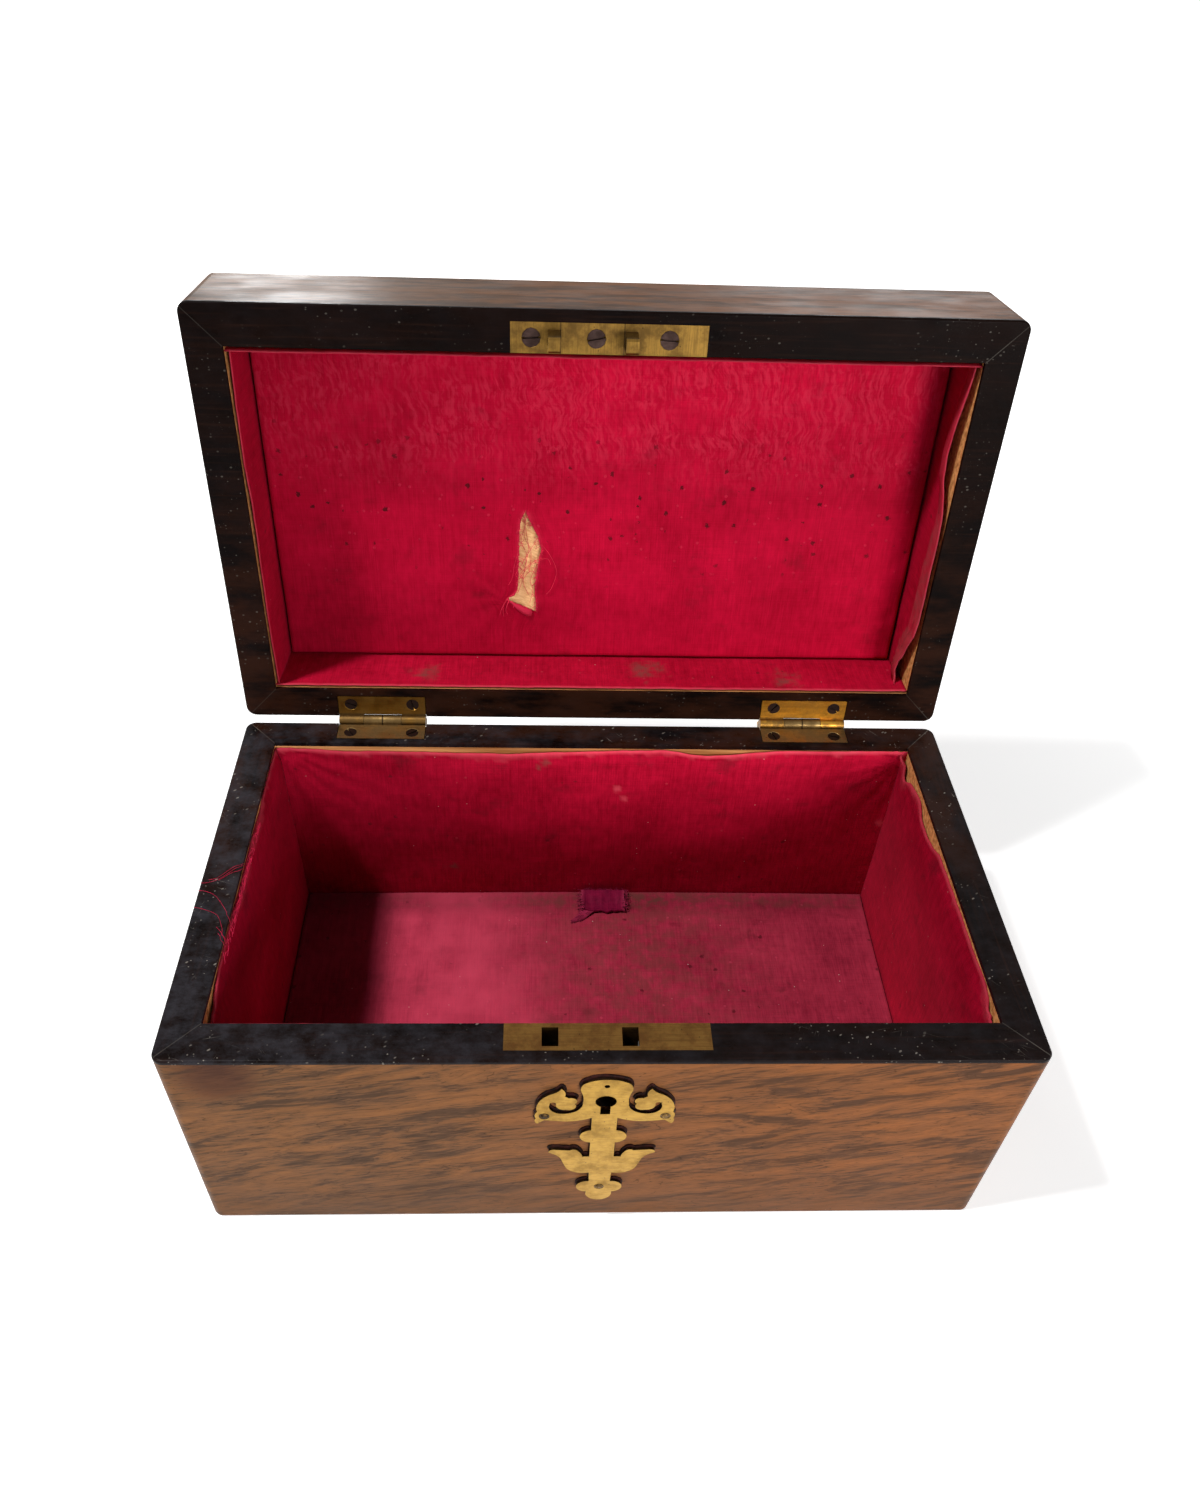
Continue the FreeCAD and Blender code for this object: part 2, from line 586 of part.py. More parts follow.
hooks = [link_hook(place) for place in HOOK_PLACES]
link_plate = block(-LOCK_LENGTH / 2, LOCK_LENGTH / 2, LOCK_FRONT, LOCK_BACK, LID_RIM, LID_RIM + LINK_PLATE)
for family in (lid_rims, lid_boards):
    family["front"] = family["front"].cut(link_plate)
link_plate = link_plate.cut(hooks)
link_screws = []
for share in LINK_SCREW_PLACE_SHARES:
    place = Vector(share * LOCK_LENGTH / 2, LOCK_Y, LID_RIM)
    screw = fastener(LINK_SCREW_HEAD, LINK_SCREW_SINK, LINK_SCREW_SHANK, LINK_SCREW_LENGTH, place, UP)
    link_plate = link_plate.cut(screw)
    for family in (lid_rims, lid_boards):
        family["front"] = family["front"].cut(screw)
    turn = SLOT_TURN * len(link_screws)
    link_screws.append(slotted(screw, LINK_SCREW_HEAD, LINK_SCREW_SINK, place, UP, turn))
lid_nodes["link_plate"] = link_plate
lid_nodes["link_hooks"] = Part.makeCompound(hooks)
lid_nodes["link_plate_screws"] = Part.makeCompound(link_screws)


# Escutcheon

ESCUTCHEON_LOW = KEY_Z - ESCUTCHEON_KEY_SHARE * ESCUTCHEON_HEIGHT
ESCUTCHEON_FACE = FRONT - ESCUTCHEON_THICKNESS
PIN_LENGTH = CAP_FRONT - MORTISE_PLAY - PIN_TIP_GAP - ESCUTCHEON_FACE


def on_escutcheon(shares):
    """A point on the face of the escutcheon from its shares of half the width and of the height."""
    across, up = shares
    return Vector(across * ESCUTCHEON_WIDTH / 2, ESCUTCHEON_FACE, ESCUTCHEON_LOW + up * ESCUTCHEON_HEIGHT)


def escutcheon_blank():
    """The pierced outline: one half drawn with lines and arcs, and its mirror image."""
    start = on_escutcheon(ESCUTCHEON_START_SHARES)
    edges, last = [], start
    for middle, end in ESCUTCHEON_STEP_SHARES:
        target = on_escutcheon(end)
        if middle is None:
            edges.append(Part.LineSegment(last, target).toShape())
        else:
            edges.append(Part.Arc(last, on_escutcheon(middle), target).toShape())
        last = target
    edges.append(Part.LineSegment(last, start).toShape())
    half = Part.Face(Part.Wire(edges)).extrude(REAR * ESCUTCHEON_THICKNESS)
    return half.fuse(half.mirror(Vector(0, 0, 0), RIGHT)).removeSplitter()


escutcheon = escutcheon_blank().cut(keyhole(ESCUTCHEON_FACE - OVERRUN, FRONT + OVERRUN))
crown_hole = on_escutcheon((0, CROWN_HOLE_SHARE)) - REAR * OVERRUN
escutcheon = escutcheon.cut(
    cylinder(crown_hole, REAR, CROWN_HOLE_RADIUS, ESCUTCHEON_THICKNESS + OVERRUN * 2))
arm_across, arm_up = ARM_PIN_SHARES
escutcheon_pins = []
for shares in ((-arm_across, arm_up), (arm_across, arm_up), (0, FOOT_PIN_SHARE)):
    pin = fastener(PIN_HEAD, PIN_SINK, PIN_SHANK, PIN_LENGTH, on_escutcheon(shares), REAR)
    escutcheon = escutcheon.cut(pin)
    for family in (box_veneers, box_boards):
        family["front"] = family["front"].cut(pin)
    escutcheon_pins.append(pin)
nodes["escutcheon"] = escutcheon
nodes["escutcheon_pins"] = Part.makeCompound(escutcheon_pins)


# Lining, floor, ribbon pull and padded ceiling

def crowned(half, back, edge, face, radius):
    """A pad's section: a flat back, sides that round over and a shallow crown on its face.

    The points are pairs of a distance from the middle and a height.
    """
    slope = radius * (1 - math.sqrt(0.5))
    return [
        ("line", (-half, back), (half, back)),
        ("line", (half, back), (half, edge + radius)),
        ("arc", (half, edge + radius), (half - slope, edge + slope), (half - radius, edge)),
        ("arc", (half - radius, edge), (0, face), (radius - half, edge)),
        ("arc", (radius - half, edge), (slope - half, edge + slope), (-half, edge + radius)),
        ("line", (-half, edge + radius), (-half, back)),
    ]


def section_edges(section, to_space):
    """The edges of a section, laid out in space by a function of distance and height."""
    kinds = {"line": Part.LineSegment, "arc": Part.Arc}
    return [kinds[kind](*[to_space(*point) for point in points]).toShape() for kind, *points in section]


def ceiling_panel():
    """The padded card under the lid, crowned both ways."""
    half_x = LINED_X - CEILING_PLAY
    y0, y1 = LINED_FRONT + CEILING_PLAY, LINED_BACK - CEILING_PLAY
    middle = (y0 + y1) / 2
    face = LID_BOARD_UNDER - CEILING_PANEL
    edge = face + CEILING_CROWN
    across = crowned(half_x, LID_BOARD_UNDER, edge, face, CEILING_ROUND)
    along = crowned((y1 - y0) / 2, LID_BOARD_UNDER, edge, face, CEILING_ROUND)
    wide = Part.Wire(section_edges(across, lambda u, v: Vector(u, y0, v)))
    deep = Part.Wire(section_edges(along, lambda u, v: Vector(-half_x, middle + u, v)))
    wide = Part.Face(wide).extrude(REAR * (y1 - y0))
    deep = Part.Face(deep).extrude(RIGHT * (half_x * 2))
    return wide.common(deep)


def ribbon_loop(y0, y1, low, high, x0, width):
    """A flat loop of ribbon seen from its side: straight runs joined by round ends."""
    radius = (high - low) / 2
    middle = (low + high) / 2
    front, rear = y0 + radius, y1 - radius
    edges = [
        Part.LineSegment(Vector(x0, front, low), Vector(x0, rear, low)).toShape(),
        Part.Arc(Vector(x0, rear, low), Vector(x0, y1, middle), Vector(x0, rear, high)).toShape(),
        Part.LineSegment(Vector(x0, rear, high), Vector(x0, front, high)).toShape(),
        Part.Arc(Vector(x0, front, high), Vector(x0, y0, middle), Vector(x0, front, low)).toShape(),
    ]
    return Part.Face(Part.Wire(edges)).extrude(RIGHT * width)


FLOOR_LOW = BOTTOM_BOARD + FLOOR_GAP
FLOOR_TOP = FLOOR_LOW + FLOOR_PANEL
FLOOR_BACK = LINED_BACK - FLOOR_PLAY
nodes["floor_panel"] = block(-LINED_X + FLOOR_PLAY, LINED_X - FLOOR_PLAY, LINED_FRONT + FLOOR_PLAY,
                             FLOOR_BACK, FLOOR_LOW, FLOOR_TOP)
tab_left = TAB_OFFSET - TAB_WIDTH / 2
tab_back = FLOOR_BACK - TAB_SETBACK
tab_front = tab_back - TAB_LENGTH
loop_outside = ribbon_loop(tab_front, tab_back, FLOOR_TOP, FLOOR_TOP + TAB_HEIGHT, tab_left, TAB_WIDTH)
loop_inside = ribbon_loop(tab_front + RIBBON, tab_back - RIBBON, FLOOR_TOP + RIBBON,
                          FLOOR_TOP + TAB_HEIGHT - RIBBON, tab_left - OVERRUN, TAB_WIDTH + OVERRUN * 2)
nodes["pull_tab"] = loop_outside.cut(loop_inside)
lid_nodes["lid_ceiling_panel"] = ceiling_panel()

for side, card in lining_frame(BOTTOM_BOARD, BOX_HEIGHT - LINING_DROP).items():
    nodes[side + "_lining"] = card
for side, card in lining_frame(LID_RIM + LINING_DROP, LID_BOARD_UNDER).items():
    lid_nodes["lid_" + side + "_lining"] = card


# Wooden pieces by name

nodes["bottom_board"] = bottom_board
for side in box_boards:
    nodes[side + "_wall"] = box_boards[side]
    nodes[side + "_veneer"] = box_veneers[side]
    nodes[side + "_rim"] = box_rims[side]
lid_nodes["lid_top_board"] = lid_top_board
lid_nodes["lid_top_veneer"] = lid_top_veneer
for side in lid_boards:
    lid_nodes["lid_" + side + "_rail"] = lid_boards[side]
    lid_nodes["lid_" + side + "_veneer"] = lid_veneers[side]
    lid_nodes["lid_" + side + "_rim"] = lid_rims[side]

for name, shape in lid_nodes.items():
    opened = shape.copy()
    opened.rotate(Vector(0, AXIS_Y, AXIS_Z), -RIGHT, OPEN_ANGLE)
    nodes[name] = opened

os.makedirs("parts", exist_ok=True)
for name, shape in nodes.items():
    shape.exportStep("parts/" + name + ".step")
    print(name, len(shape.Solids), round(shape.Volume, 1), shape.isValid())
print(len(nodes), "pieces, lid axis at", round(AXIS_Y, 3), round(AXIS_Z, 3), "bolt throw", BOLT_THROW)
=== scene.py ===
# %% [markdown]
# # A silk-lined wooden box with its lid open
# The CAD part gives the rigid pieces: boards, veneers, rims, hinges, lock and escutcheon.
# This lesson dresses them. The wood and the metal get procedural finishes, and the silk, the
# ribbon, the threads and the screw heads are modelled here, because they are what CAD leaves plain.

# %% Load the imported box
import json
import math
import random

import bmesh
import bpy
import numpy as np
from mathutils import Matrix, Vector, noise


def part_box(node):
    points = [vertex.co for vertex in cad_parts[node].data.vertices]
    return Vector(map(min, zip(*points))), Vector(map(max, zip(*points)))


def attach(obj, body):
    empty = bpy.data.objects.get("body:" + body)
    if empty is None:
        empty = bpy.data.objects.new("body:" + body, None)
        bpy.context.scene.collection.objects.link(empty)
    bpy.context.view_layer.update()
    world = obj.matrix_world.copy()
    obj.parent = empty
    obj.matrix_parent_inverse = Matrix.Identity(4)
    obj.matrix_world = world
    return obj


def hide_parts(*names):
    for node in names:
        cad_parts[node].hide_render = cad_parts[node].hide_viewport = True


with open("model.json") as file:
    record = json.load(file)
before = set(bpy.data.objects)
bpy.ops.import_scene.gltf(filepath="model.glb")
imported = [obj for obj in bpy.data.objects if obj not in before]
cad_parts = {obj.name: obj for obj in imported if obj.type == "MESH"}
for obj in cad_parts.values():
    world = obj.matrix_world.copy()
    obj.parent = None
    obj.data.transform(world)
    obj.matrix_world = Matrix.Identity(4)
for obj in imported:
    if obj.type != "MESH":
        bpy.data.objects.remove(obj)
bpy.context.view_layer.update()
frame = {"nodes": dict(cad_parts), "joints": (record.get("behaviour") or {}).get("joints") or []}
nodes = frame["nodes"]
MM = 0.001


def put(name, data):
    """A new object in the scene."""
    fresh = bpy.data.objects.new(name, data)
    bpy.context.scene.collection.objects.link(fresh)
    return fresh


def shade_smooth(mesh):
    mesh.polygons.foreach_set("use_smooth", [True] * len(mesh.polygons))


def paint(mesh, mark, values):
    """Gives each point of a mesh a value that a finish or a node tree reads by name."""
    mesh.attributes.new(mark, "FLOAT", "POINT").data.foreach_set("value", values)


def of_kind(kind, geometry):
    """The vertices, or the edges, among what a bmesh tool has made."""
    return [item for item in geometry if isinstance(item, kind)]


# %% [markdown]
# ## Camera
# The photograph was taken from above the front, close to the box, so its upright edges lean in.
# A camera can be aimed with a constraint, but then its roll is lost. Here its three axes are
# worked out from the angles that the photograph's straight edges give, and set as one matrix.

# %% Camera
CAMERA_PLACE = Vector((-0.01979, -0.24256, 0.36052))
CAMERA_TURN = math.radians(-3.089)
CAMERA_RISE = math.radians(43.815)
CAMERA_ROLL = math.radians(-2.555)
SENSOR = 36.0
LENS = 27.17
SHIFT = (0.0113, 0.0247)

back = Vector((
    math.sin(CAMERA_TURN) * math.cos(CAMERA_RISE),
    -math.cos(CAMERA_TURN) * math.cos(CAMERA_RISE),
    math.sin(CAMERA_RISE),
))
level = Vector((math.cos(CAMERA_TURN), math.sin(CAMERA_TURN), 0))
upright = back.cross(level)
across = level * math.cos(CAMERA_ROLL) - upright * math.sin(CAMERA_ROLL)
upward = level * math.sin(CAMERA_ROLL) + upright * math.cos(CAMERA_ROLL)
camera_data = bpy.data.cameras.new("photo_camera")
camera_data.sensor_fit = "VERTICAL"
camera_data.sensor_height = SENSOR
camera_data.lens = LENS
camera_data.shift_x, camera_data.shift_y = SHIFT
camera = put("photo_camera", camera_data)
camera_axes = Matrix((across, upward, back)).transposed().to_4x4()
camera.matrix_world = Matrix.Translation(CAMERA_PLACE) @ camera_axes
bpy.context.scene.camera = camera
bpy.context.scene.view_settings.view_transform = "Standard"
print("camera", round(math.degrees(CAMERA_RISE), 1), "degrees up")

# %% [markdown]
# ## A small bench for node trees
# Each finish is a tree of shader nodes, and two shapes further on are trees of geometry nodes.
# Written out one by one, the trees are long and hard to read, so a bench adds a node in one line. A
# finish is a bench with a material. Its patterns are placed by the real size of a mark: a Mapping
# node of the Texture kind divides by its scale, so the scale is the mark's size in metres. Where a
# size has fewer than three numbers, its last one stands for the rest.

# %% Bench for node trees
class Bench:
    """A node tree under construction. A node's input takes a value, or a link from another node."""

    def __init__(self, tree):
        self.tree = tree

    def feed(self, socket, value):
        if isinstance(value, bpy.types.NodeSocket):
            self.tree.links.new(value, socket)
        else:
            if socket.type == "RGBA" and len(value) == 3:
                value = (*value, 1)
            socket.default_value = value

    def add(self, kind, feeds=(), **settings):
        node = self.tree.nodes.new(kind)
        for key, value in settings.items():
            setattr(node, key, value)
        for key, value in dict(feeds).items():
            self.feed(node.inputs[key], value)
        return node

    def math(self, operation, a, b=0.0):
        return self.add("ShaderNodeMath", {0: a, 1: b}, operation=operation).outputs[0]


class Finish(Bench):
    """A material under construction, with short ways to add its nodes."""

    def __init__(self, name, **settings):
        self.material = bpy.data.materials.new(name)
        self.material.use_nodes = True
        super().__init__(self.material.node_tree)
        self.shader = self.tree.nodes["Principled BSDF"]
        self.finish(**settings)

    def finish(self, **feeds):
        for socket, value in feeds.items():
            self.feed(self.shader.inputs[socket.replace("_", " ")], value)
        return self.material

    def place(self, size=(1,), turn=(0, 0, 0), start=(0, 0, 0), source="Object"):
        return self.add("ShaderNodeMapping", {
            "Vector": self.add("ShaderNodeTexCoord").outputs[source],
            "Location": start,
            "Rotation": [math.radians(angle) for angle in turn],
            "Scale": [*size, *[size[-1]] * (3 - len(size))],
        }, vector_type="TEXTURE").outputs[0]

    def on_cloth(self, width, height, start=(0, 0), turn=0):
        """A place on a cloth's own map."""
        return self.place((width, height, 1), (0, 0, turn), (*start, 0), "UV")

    def noise(self, vector, detail=4.0, roughness=0.55):
        return self.add("ShaderNodeTexNoise", {
            "Vector": vector, "Scale": 1.0, "Detail": detail, "Roughness": roughness}).outputs[0]

    def warp(self, vector, bend, amount):
        """Moves a pattern's coordinates about by a second, larger noise."""
        cloud = self.add("ShaderNodeTexNoise", {"Vector": bend, "Scale": 1.0, "Detail": 2.0}).outputs["Color"]
        centred = self.add("ShaderNodeVectorMath", {0: cloud, 1: [0.5] * 3}, operation="SUBTRACT").outputs[0]
        return self.add("ShaderNodeVectorMath", {
            0: centred, 1: [amount] * 3, 2: vector}, operation="MULTIPLY_ADD").outputs[0]

    def spots(self, vector, radius, share, dimensions="3D"):
        """Round marks with soft edges in a share of the cells. On a flat map they differ in size."""
        cells = self.add(
            "ShaderNodeTexVoronoi", {"Vector": vector, "Scale": 1.0}, voronoi_dimensions=dimensions)
        chance = self.add("ShaderNodeSeparateColor", {"Color": cells.outputs["Color"]}).outputs
        away = cells.outputs["Distance"]
        if dimensions == "2D":
            away = self.math("DIVIDE", away, self.grade(chance[1], 0, 1, 0.35, 1.25))
        near = self.grade(away, radius, radius * 0.55)
        return self.times(near, self.math("LESS_THAN", chance[0], share))

    def grade(self, value, low, high, to_low=0.0, to_high=1.0):
        return self.add("ShaderNodeMapRange", {
            "Value": value, "From Min": low, "From Max": high, "To Min": to_low, "To Max": to_high,
        }, interpolation_type="SMOOTHSTEP").outputs[0]

    def times(self, first, *others):
        for other in others:
            first = self.math("MULTIPLY", first, other)
        return first

    def total(self, first, *others):
        """The sum of values, each with its share."""
        result = self.times(*first)
        for other in others:
            result = self.math("ADD", result, self.times(*other))
        return result

    def apart(self, a, b):
        return self.math("ABSOLUTE", self.math("SUBTRACT", a, b))

    def length(self, vector):
        return self.add("ShaderNodeVectorMath", {0: vector}, operation="LENGTH").outputs["Value"]

    def axis(self, vector, index):
        return self.add("ShaderNodeSeparateXYZ", {0: vector}).outputs[index]

    def blend(self, amount, a, b, kind="MIX"):
        node = self.add("ShaderNodeMix", {0: amount, 6: a, 7: b}, data_type="RGBA", blend_type=kind)
        return node.outputs[2]

    def ramp(self, value, stops):
        node = self.add("ShaderNodeValToRGB", {"Fac": value})
        elements = node.color_ramp.elements
        while len(elements) < len(stops):
            elements.new(0.5)
        for element, (position, colour) in zip(elements, stops):
            element.position, element.color = position, (*colour, 1)
        return node.outputs[0]

    def attribute(self, name):
        return self.add("ShaderNodeAttribute", attribute_name=name).outputs["Fac"]

    def bump(self, height, strength, distance):
        return self.add("ShaderNodeBump", {
            "Height": height, "Strength": strength, "Distance": distance}).outputs[0]


def dress(finish_material, *names):
    """Puts a finish on CAD nodes."""
    for name in names:
        nodes[name].data.materials.clear()
        nodes[name].data.materials.append(finish_material)


SIDES = ("front", "right", "back", "left")
print("the bench can make", [n for n in dir(Finish) if not n.startswith("_")])

# %% [markdown]
# ## Light and floor
# The left wall throws a shadow on the box's floor, so one lamp is overhead and to the left. The
# lid's inside is lit evenly from in front, so a large panel stands there, and a weak lamp fills the
# right side. Two small lamps behind the lid give the glare on its narrow front face, which is on top
# while the lid is open. A pale floor and a white surround fill the rest. The surround is plain white
# to the camera and to reflections, and dimmer as a light, so that it doesn't wash the colours out.

# %% Light and floor
FLOOR_PALE = (0.93, 0.93, 0.93, 1)
WHITE = (1, 1, 1, 1)
SURROUND_LIGHT = 0.10


def lamp(name, place, target, size, power):
    """A rectangular area lamp that faces a point."""
    data = bpy.data.lights.new(name, "AREA")
    data.shape = "RECTANGLE"
    data.size, data.size_y = size
    data.energy = power
    aim = (Vector(target) - Vector(place)).to_track_quat("-Z", "Y").to_matrix().to_4x4()
    put(name, data).matrix_world = Matrix.Translation(Vector(place)) @ aim


lamp("overhead_left", (-0.64, -0.14, 1.32), (0, 0, 0.06), (0.14, 0.14), 18.6)
lamp("front_panel", (0.48, -1.00, 0.36), (0, 0, 0.14), (0.40, 0.35), 9.0)
lamp("low_right", (1.25, -0.25, 0.50), (0, 0, 0.12), (0.5, 0.3), 2.0)
lamp("back_left", (-0.30, 1.07, 0.36), (-0.09, 0.105, 0.232), (0.14, 0.30), 1.6)
lamp("back_right", (0.34, 1.06, 0.36), (0.10, 0.105, 0.232), (0.30, 0.30), 0.7)


def background_rays(bench):
    """One where a camera, mirror or glass ray meets the surround, and nought where light does."""
    rays = bench.add("ShaderNodeLightPath").outputs
    seen = bench.math("MAXIMUM", rays["Is Camera Ray"], rays["Is Glossy Ray"])
    return bench.math("MAXIMUM", seen, rays["Is Transmission Ray"])


world = bpy.data.worlds.new("surround")
bpy.context.scene.world = world
world.use_nodes = True
sky = Bench(world.node_tree)
sky.tree.nodes.clear()
dim, full = (sky.add("ShaderNodeBackground", {"Color": WHITE, "Strength": strength}).outputs[0]
             for strength in (SURROUND_LIGHT, 1.0))
choice = sky.add("ShaderNodeMixShader", {0: background_rays(sky), 1: dim, 2: full})
sky.add("ShaderNodeOutputWorld", {"Surface": choice.outputs[0]})
print("five lamps and a white surround")

# %% [markdown]
# The floor is a large plain sheet. The lamps fade with distance, so far away it would turn grey.
# There it glows softly, but only to the camera and to reflections, so no light is added to the box,
# and near the box it still shows the shadow.

# %% Floor
REACH = 6.0
GLOW_START, GLOW_END = 0.20, 0.60
GLOW_NEAR, GLOW_FAR = 0.50, 0.95
floor_mesh = bpy.data.meshes.new("pale_floor")
corners = [(-REACH, -REACH, 0), (REACH, -REACH, 0), (REACH, REACH, 0), (-REACH, REACH, 0)]
floor_mesh.from_pydata(corners, [], [(0, 1, 2, 3)])
ground = Finish("pale_floor", Base_Color=FLOOR_PALE, Roughness=0.9, Specular_IOR_Level=0.0)
glow = ground.grade(ground.length(ground.place()), GLOW_START, GLOW_END, GLOW_NEAR, GLOW_FAR)
only_seen = ground.times(glow, background_rays(ground))
floor_mesh.materials.append(ground.finish(Emission_Color=WHITE, Emission_Strength=only_seen))
pale_floor = put("pale_floor", floor_mesh)
print("a pale floor", 2 * REACH, "m wide")

# %% [markdown]
# ## Figured veneer
# The outside is a brown veneer with dark, wavy streaks that run along the boards and rise a little
# to one side. Long noise gives the streaks, bent by a larger noise so that they waver. Finer noise
# gives the lines between them, and thin contours of a smooth noise are the wood's rings. Short dark
# dashes are the open pores. A dark, reddish smudge lies at the front's upper left corner.

# %% Figured veneer
VENEER_DARK = (0.016, 0.0075, 0.0040)
VENEER_GREY = (0.084, 0.0400, 0.0200)
VENEER_MID = (0.158, 0.0665, 0.0265)
VENEER_LIGHT = (0.238, 0.0930, 0.0320)
VENEER_STOPS = ((0.425, VENEER_LIGHT), (0.51, VENEER_MID), (0.55, VENEER_GREY), (0.80, VENEER_DARK))
LEFT_TINT, RIGHT_TINT = (0.97, 1.04, 1.06), (1.10, 0.98, 0.85)
FLAME_TILT = -16
SMUDGE = Vector((-108 * MM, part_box("front_veneer")[0].y, 84 * MM))
SMUDGE_REACH = (15 * MM, 6 * MM, 16 * MM)
SMUDGE_RED = (0.060, 0.0175, 0.0085)
KEY_PLACE = Vector((0, 0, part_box("escutcheon")[1].z - 11.5 * MM))
KEYHOLE_SHADE_BLACK = (0.004, 0.003, 0.003)
ENDLESS = 1e6


def keyhole_shade(finish, reach):
    """One round the keyhole's axis, where the dark inside of the keyhole is painted as shade, and nought
    outside it.

    It holds at any depth, so the back veneer, which shares the front's finish, has the mark too.
    """
    away = finish.length(finish.place((1, ENDLESS, 1), start=KEY_PLACE))
    return finish.grade(away, reach, reach * 0.8)


def figured_veneer(name, streak, turn, start, shine=0.03, foot=0.0, depth=1.0):
    """A veneer whose streaks run along X before it is turned. A streak's size is its length and width."""
    finish = Finish(name, Specular_IOR_Level=shine)

    def streaks(longer, wider, tilt=0):
        size = (streak[0] * longer, streak[1] * wider)
        return finish.place(size, (turn[0], turn[1] + tilt, turn[2]), start)

    bend = streaks(1.2, 3.2)
    flow = finish.warp(streaks(1.3, 1.35), bend, 2.6)
    figure = finish.noise(flow, 6.0, 0.60)
    flame = finish.noise(finish.warp(streaks(0.5, 0.62, FLAME_TILT), bend, 1.6), 4.0, 0.56)
    hatch = finish.noise(finish.warp(streaks(0.44, 0.12), bend, 15.0), 4.0, 0.62)
    cloud = finish.noise(finish.place((0.070, 0.030), turn, start), 3.0)
    tone = finish.total((figure, 0.40), (flame, 0.20), (hatch, 0.28), (cloud, 0.12))
    colour = finish.ramp(tone, [(stop, [c * depth for c in shade]) for stop, shade in VENEER_STOPS])
    contour = finish.math("PINGPONG", finish.times(finish.noise(flow, 1.5, 0.5), 11.0), 0.5)
    rings = finish.times(finish.grade(contour, 0.060, 0.0), finish.grade(hatch, 0.36, 0.60, 0, 0.55))
    colour = finish.blend(rings, colour, VENEER_DARK)
    pore = finish.noise(finish.place((0.0034, 0.00030), turn, start), 2.0)
    colour = finish.blend(finish.grade(pore, 0.58, 0.72, 0, 0.5), colour, VENEER_DARK)
    flat = finish.place()
    tint = finish.ramp(finish.grade(finish.axis(flat, 0), -0.10, 0.09), [(0.0, LEFT_TINT), (1.0, RIGHT_TINT)])
    colour = finish.blend(1.0, colour, tint, "MULTIPLY")
    if foot:
        colour = finish.blend(finish.grade(finish.axis(flat, 2), foot, 0.0, 0.0, 0.5), colour, VENEER_GREY)
    away = finish.length(finish.place(SMUDGE_REACH, start=SMUDGE))
    ragged = finish.math("ADD", away, finish.grade(tone, 0.35, 0.65, -0.25, 0.25))
    colour = finish.blend(finish.grade(ragged, 1.1, 0.3, 0, 0.72), colour, SMUDGE_RED)
    # The dark inside of the keyhole is painted here as shade.
    colour = finish.blend(keyhole_shade(finish, 6.5 * MM), colour, KEYHOLE_SHADE_BLACK)
    gloss = finish.noise(finish.place((0.020, 0.010)), 3.0)
    return finish.finish(
        Base_Color=colour,
        Roughness=finish.grade(gloss, 0.3, 0.7, 0.30, 0.44),
        Normal=finish.bump(finish.math("SUBTRACT", hatch, pore), 0.06, 0.0003),
    )


dress(figured_veneer("figured_veneer_long", (0.040, 0.0047), (0, -10, 0), (0.04, 0, 0.013), foot=0.035),
      "front_veneer", "back_veneer")
dress(figured_veneer("figured_veneer_side", (0.036, 0.0058), (0, 0, 90), (0.3, 0.1, 0.05)),
      "left_veneer", "right_veneer", "lid_left_veneer", "lid_right_veneer")
dress(figured_veneer("figured_veneer_lid", (0.095, 0.0030), (0, 0, 1), (0.1, 0.4, 0.2), 0.05, depth=0.72),
      "lid_back_veneer", "lid_top_veneer")
dress(figured_veneer("figured_veneer_strip", (0.060, 0.0042), (0, 0, 1), (0.13, 0.4, 0.27), depth=0.56),
      "lid_front_veneer")
print("veneer on", sum(n.endswith("veneer") for n in nodes), "faces")

# %% [markdown]
# ## Ebonised rims and the wood under the silk
# The rims are stained black and polished, and years of use have scratched them, left pale specks
# and dulled the polish in patches. A bluish-grey sheen is painted into their colour as a reflection,
# strongest towards the left. Near the hinges the stain has thinned to brown. A fine line shows at
# each mitre. The carcase is a plain orange-brown wood, seen only where the silk has come away from
# the rim.

# %% Ebonised rims and carcase
RIM_BLACK = (0.0030, 0.0017, 0.0015)
RIM_BROWN = (0.0105, 0.0045, 0.0030)
RIM_TAN = (0.022, 0.0074, 0.0038)
RIM_PAINTED_SHEEN = (0.036, 0.035, 0.042)
RIM_PALE = (0.30, 0.27, 0.23)
SCRATCHES = ((12, 0.009), (68, 0.006), (131, 0.007), (160, 0.012))
INNER_CORNER = (0.1135, 0.0589)
INNER_MIDDLE = 0.55 * MM
MITRE_HALF = 0.13 * MM
MITRE_SLOPE = 1.03
axis_place = Vector(frame["joints"][0]["pos_m"])
open_turn = -math.radians(frame["joints"][0]["range_deg"][0])


def from_hinge(finish):
    """How far a place on the open box lies from the hinges' axis."""
    return finish.length(finish.place((ENDLESS, 1), start=axis_place))


def scratches(finish):
    """Fine lines at several angles, each kind in patches of its own."""
    marks = 0.0
    for angle, length in SCRATCHES:
        thin = finish.place((length, 0.00022), (0, 0, angle), (0.01 * angle, 0.2, 0))
        line = finish.grade(finish.noise(thin, 1.0), 0.72, 0.80)
        where = finish.noise(finish.place((0.011,), (0, 0, angle)), 2.0)
        marks = finish.math("MAXIMUM", finish.times(line, finish.grade(where, 0.50, 0.64)), marks)
    return marks


def off_mitre(finish, lid):
    """How far a place on a rim lies from the nearest mitre, in the plane of the box or of the open lid."""
    middle = axis_place if lid else (0, 0, 0)
    flat = finish.place((1,), (-math.degrees(open_turn) if lid else 0, 0, 0), middle)
    beside = finish.math("SUBTRACT", finish.math("ABSOLUTE", finish.axis(flat, 0)), INNER_CORNER[0])
    behind = finish.math("ADD", finish.axis(flat, 1), middle[1] - INNER_MIDDLE)
    behind = finish.math("SUBTRACT", finish.math("ABSOLUTE", behind), INNER_CORNER[1])
    return finish.apart(behind, finish.times(beside, MITRE_SLOPE))


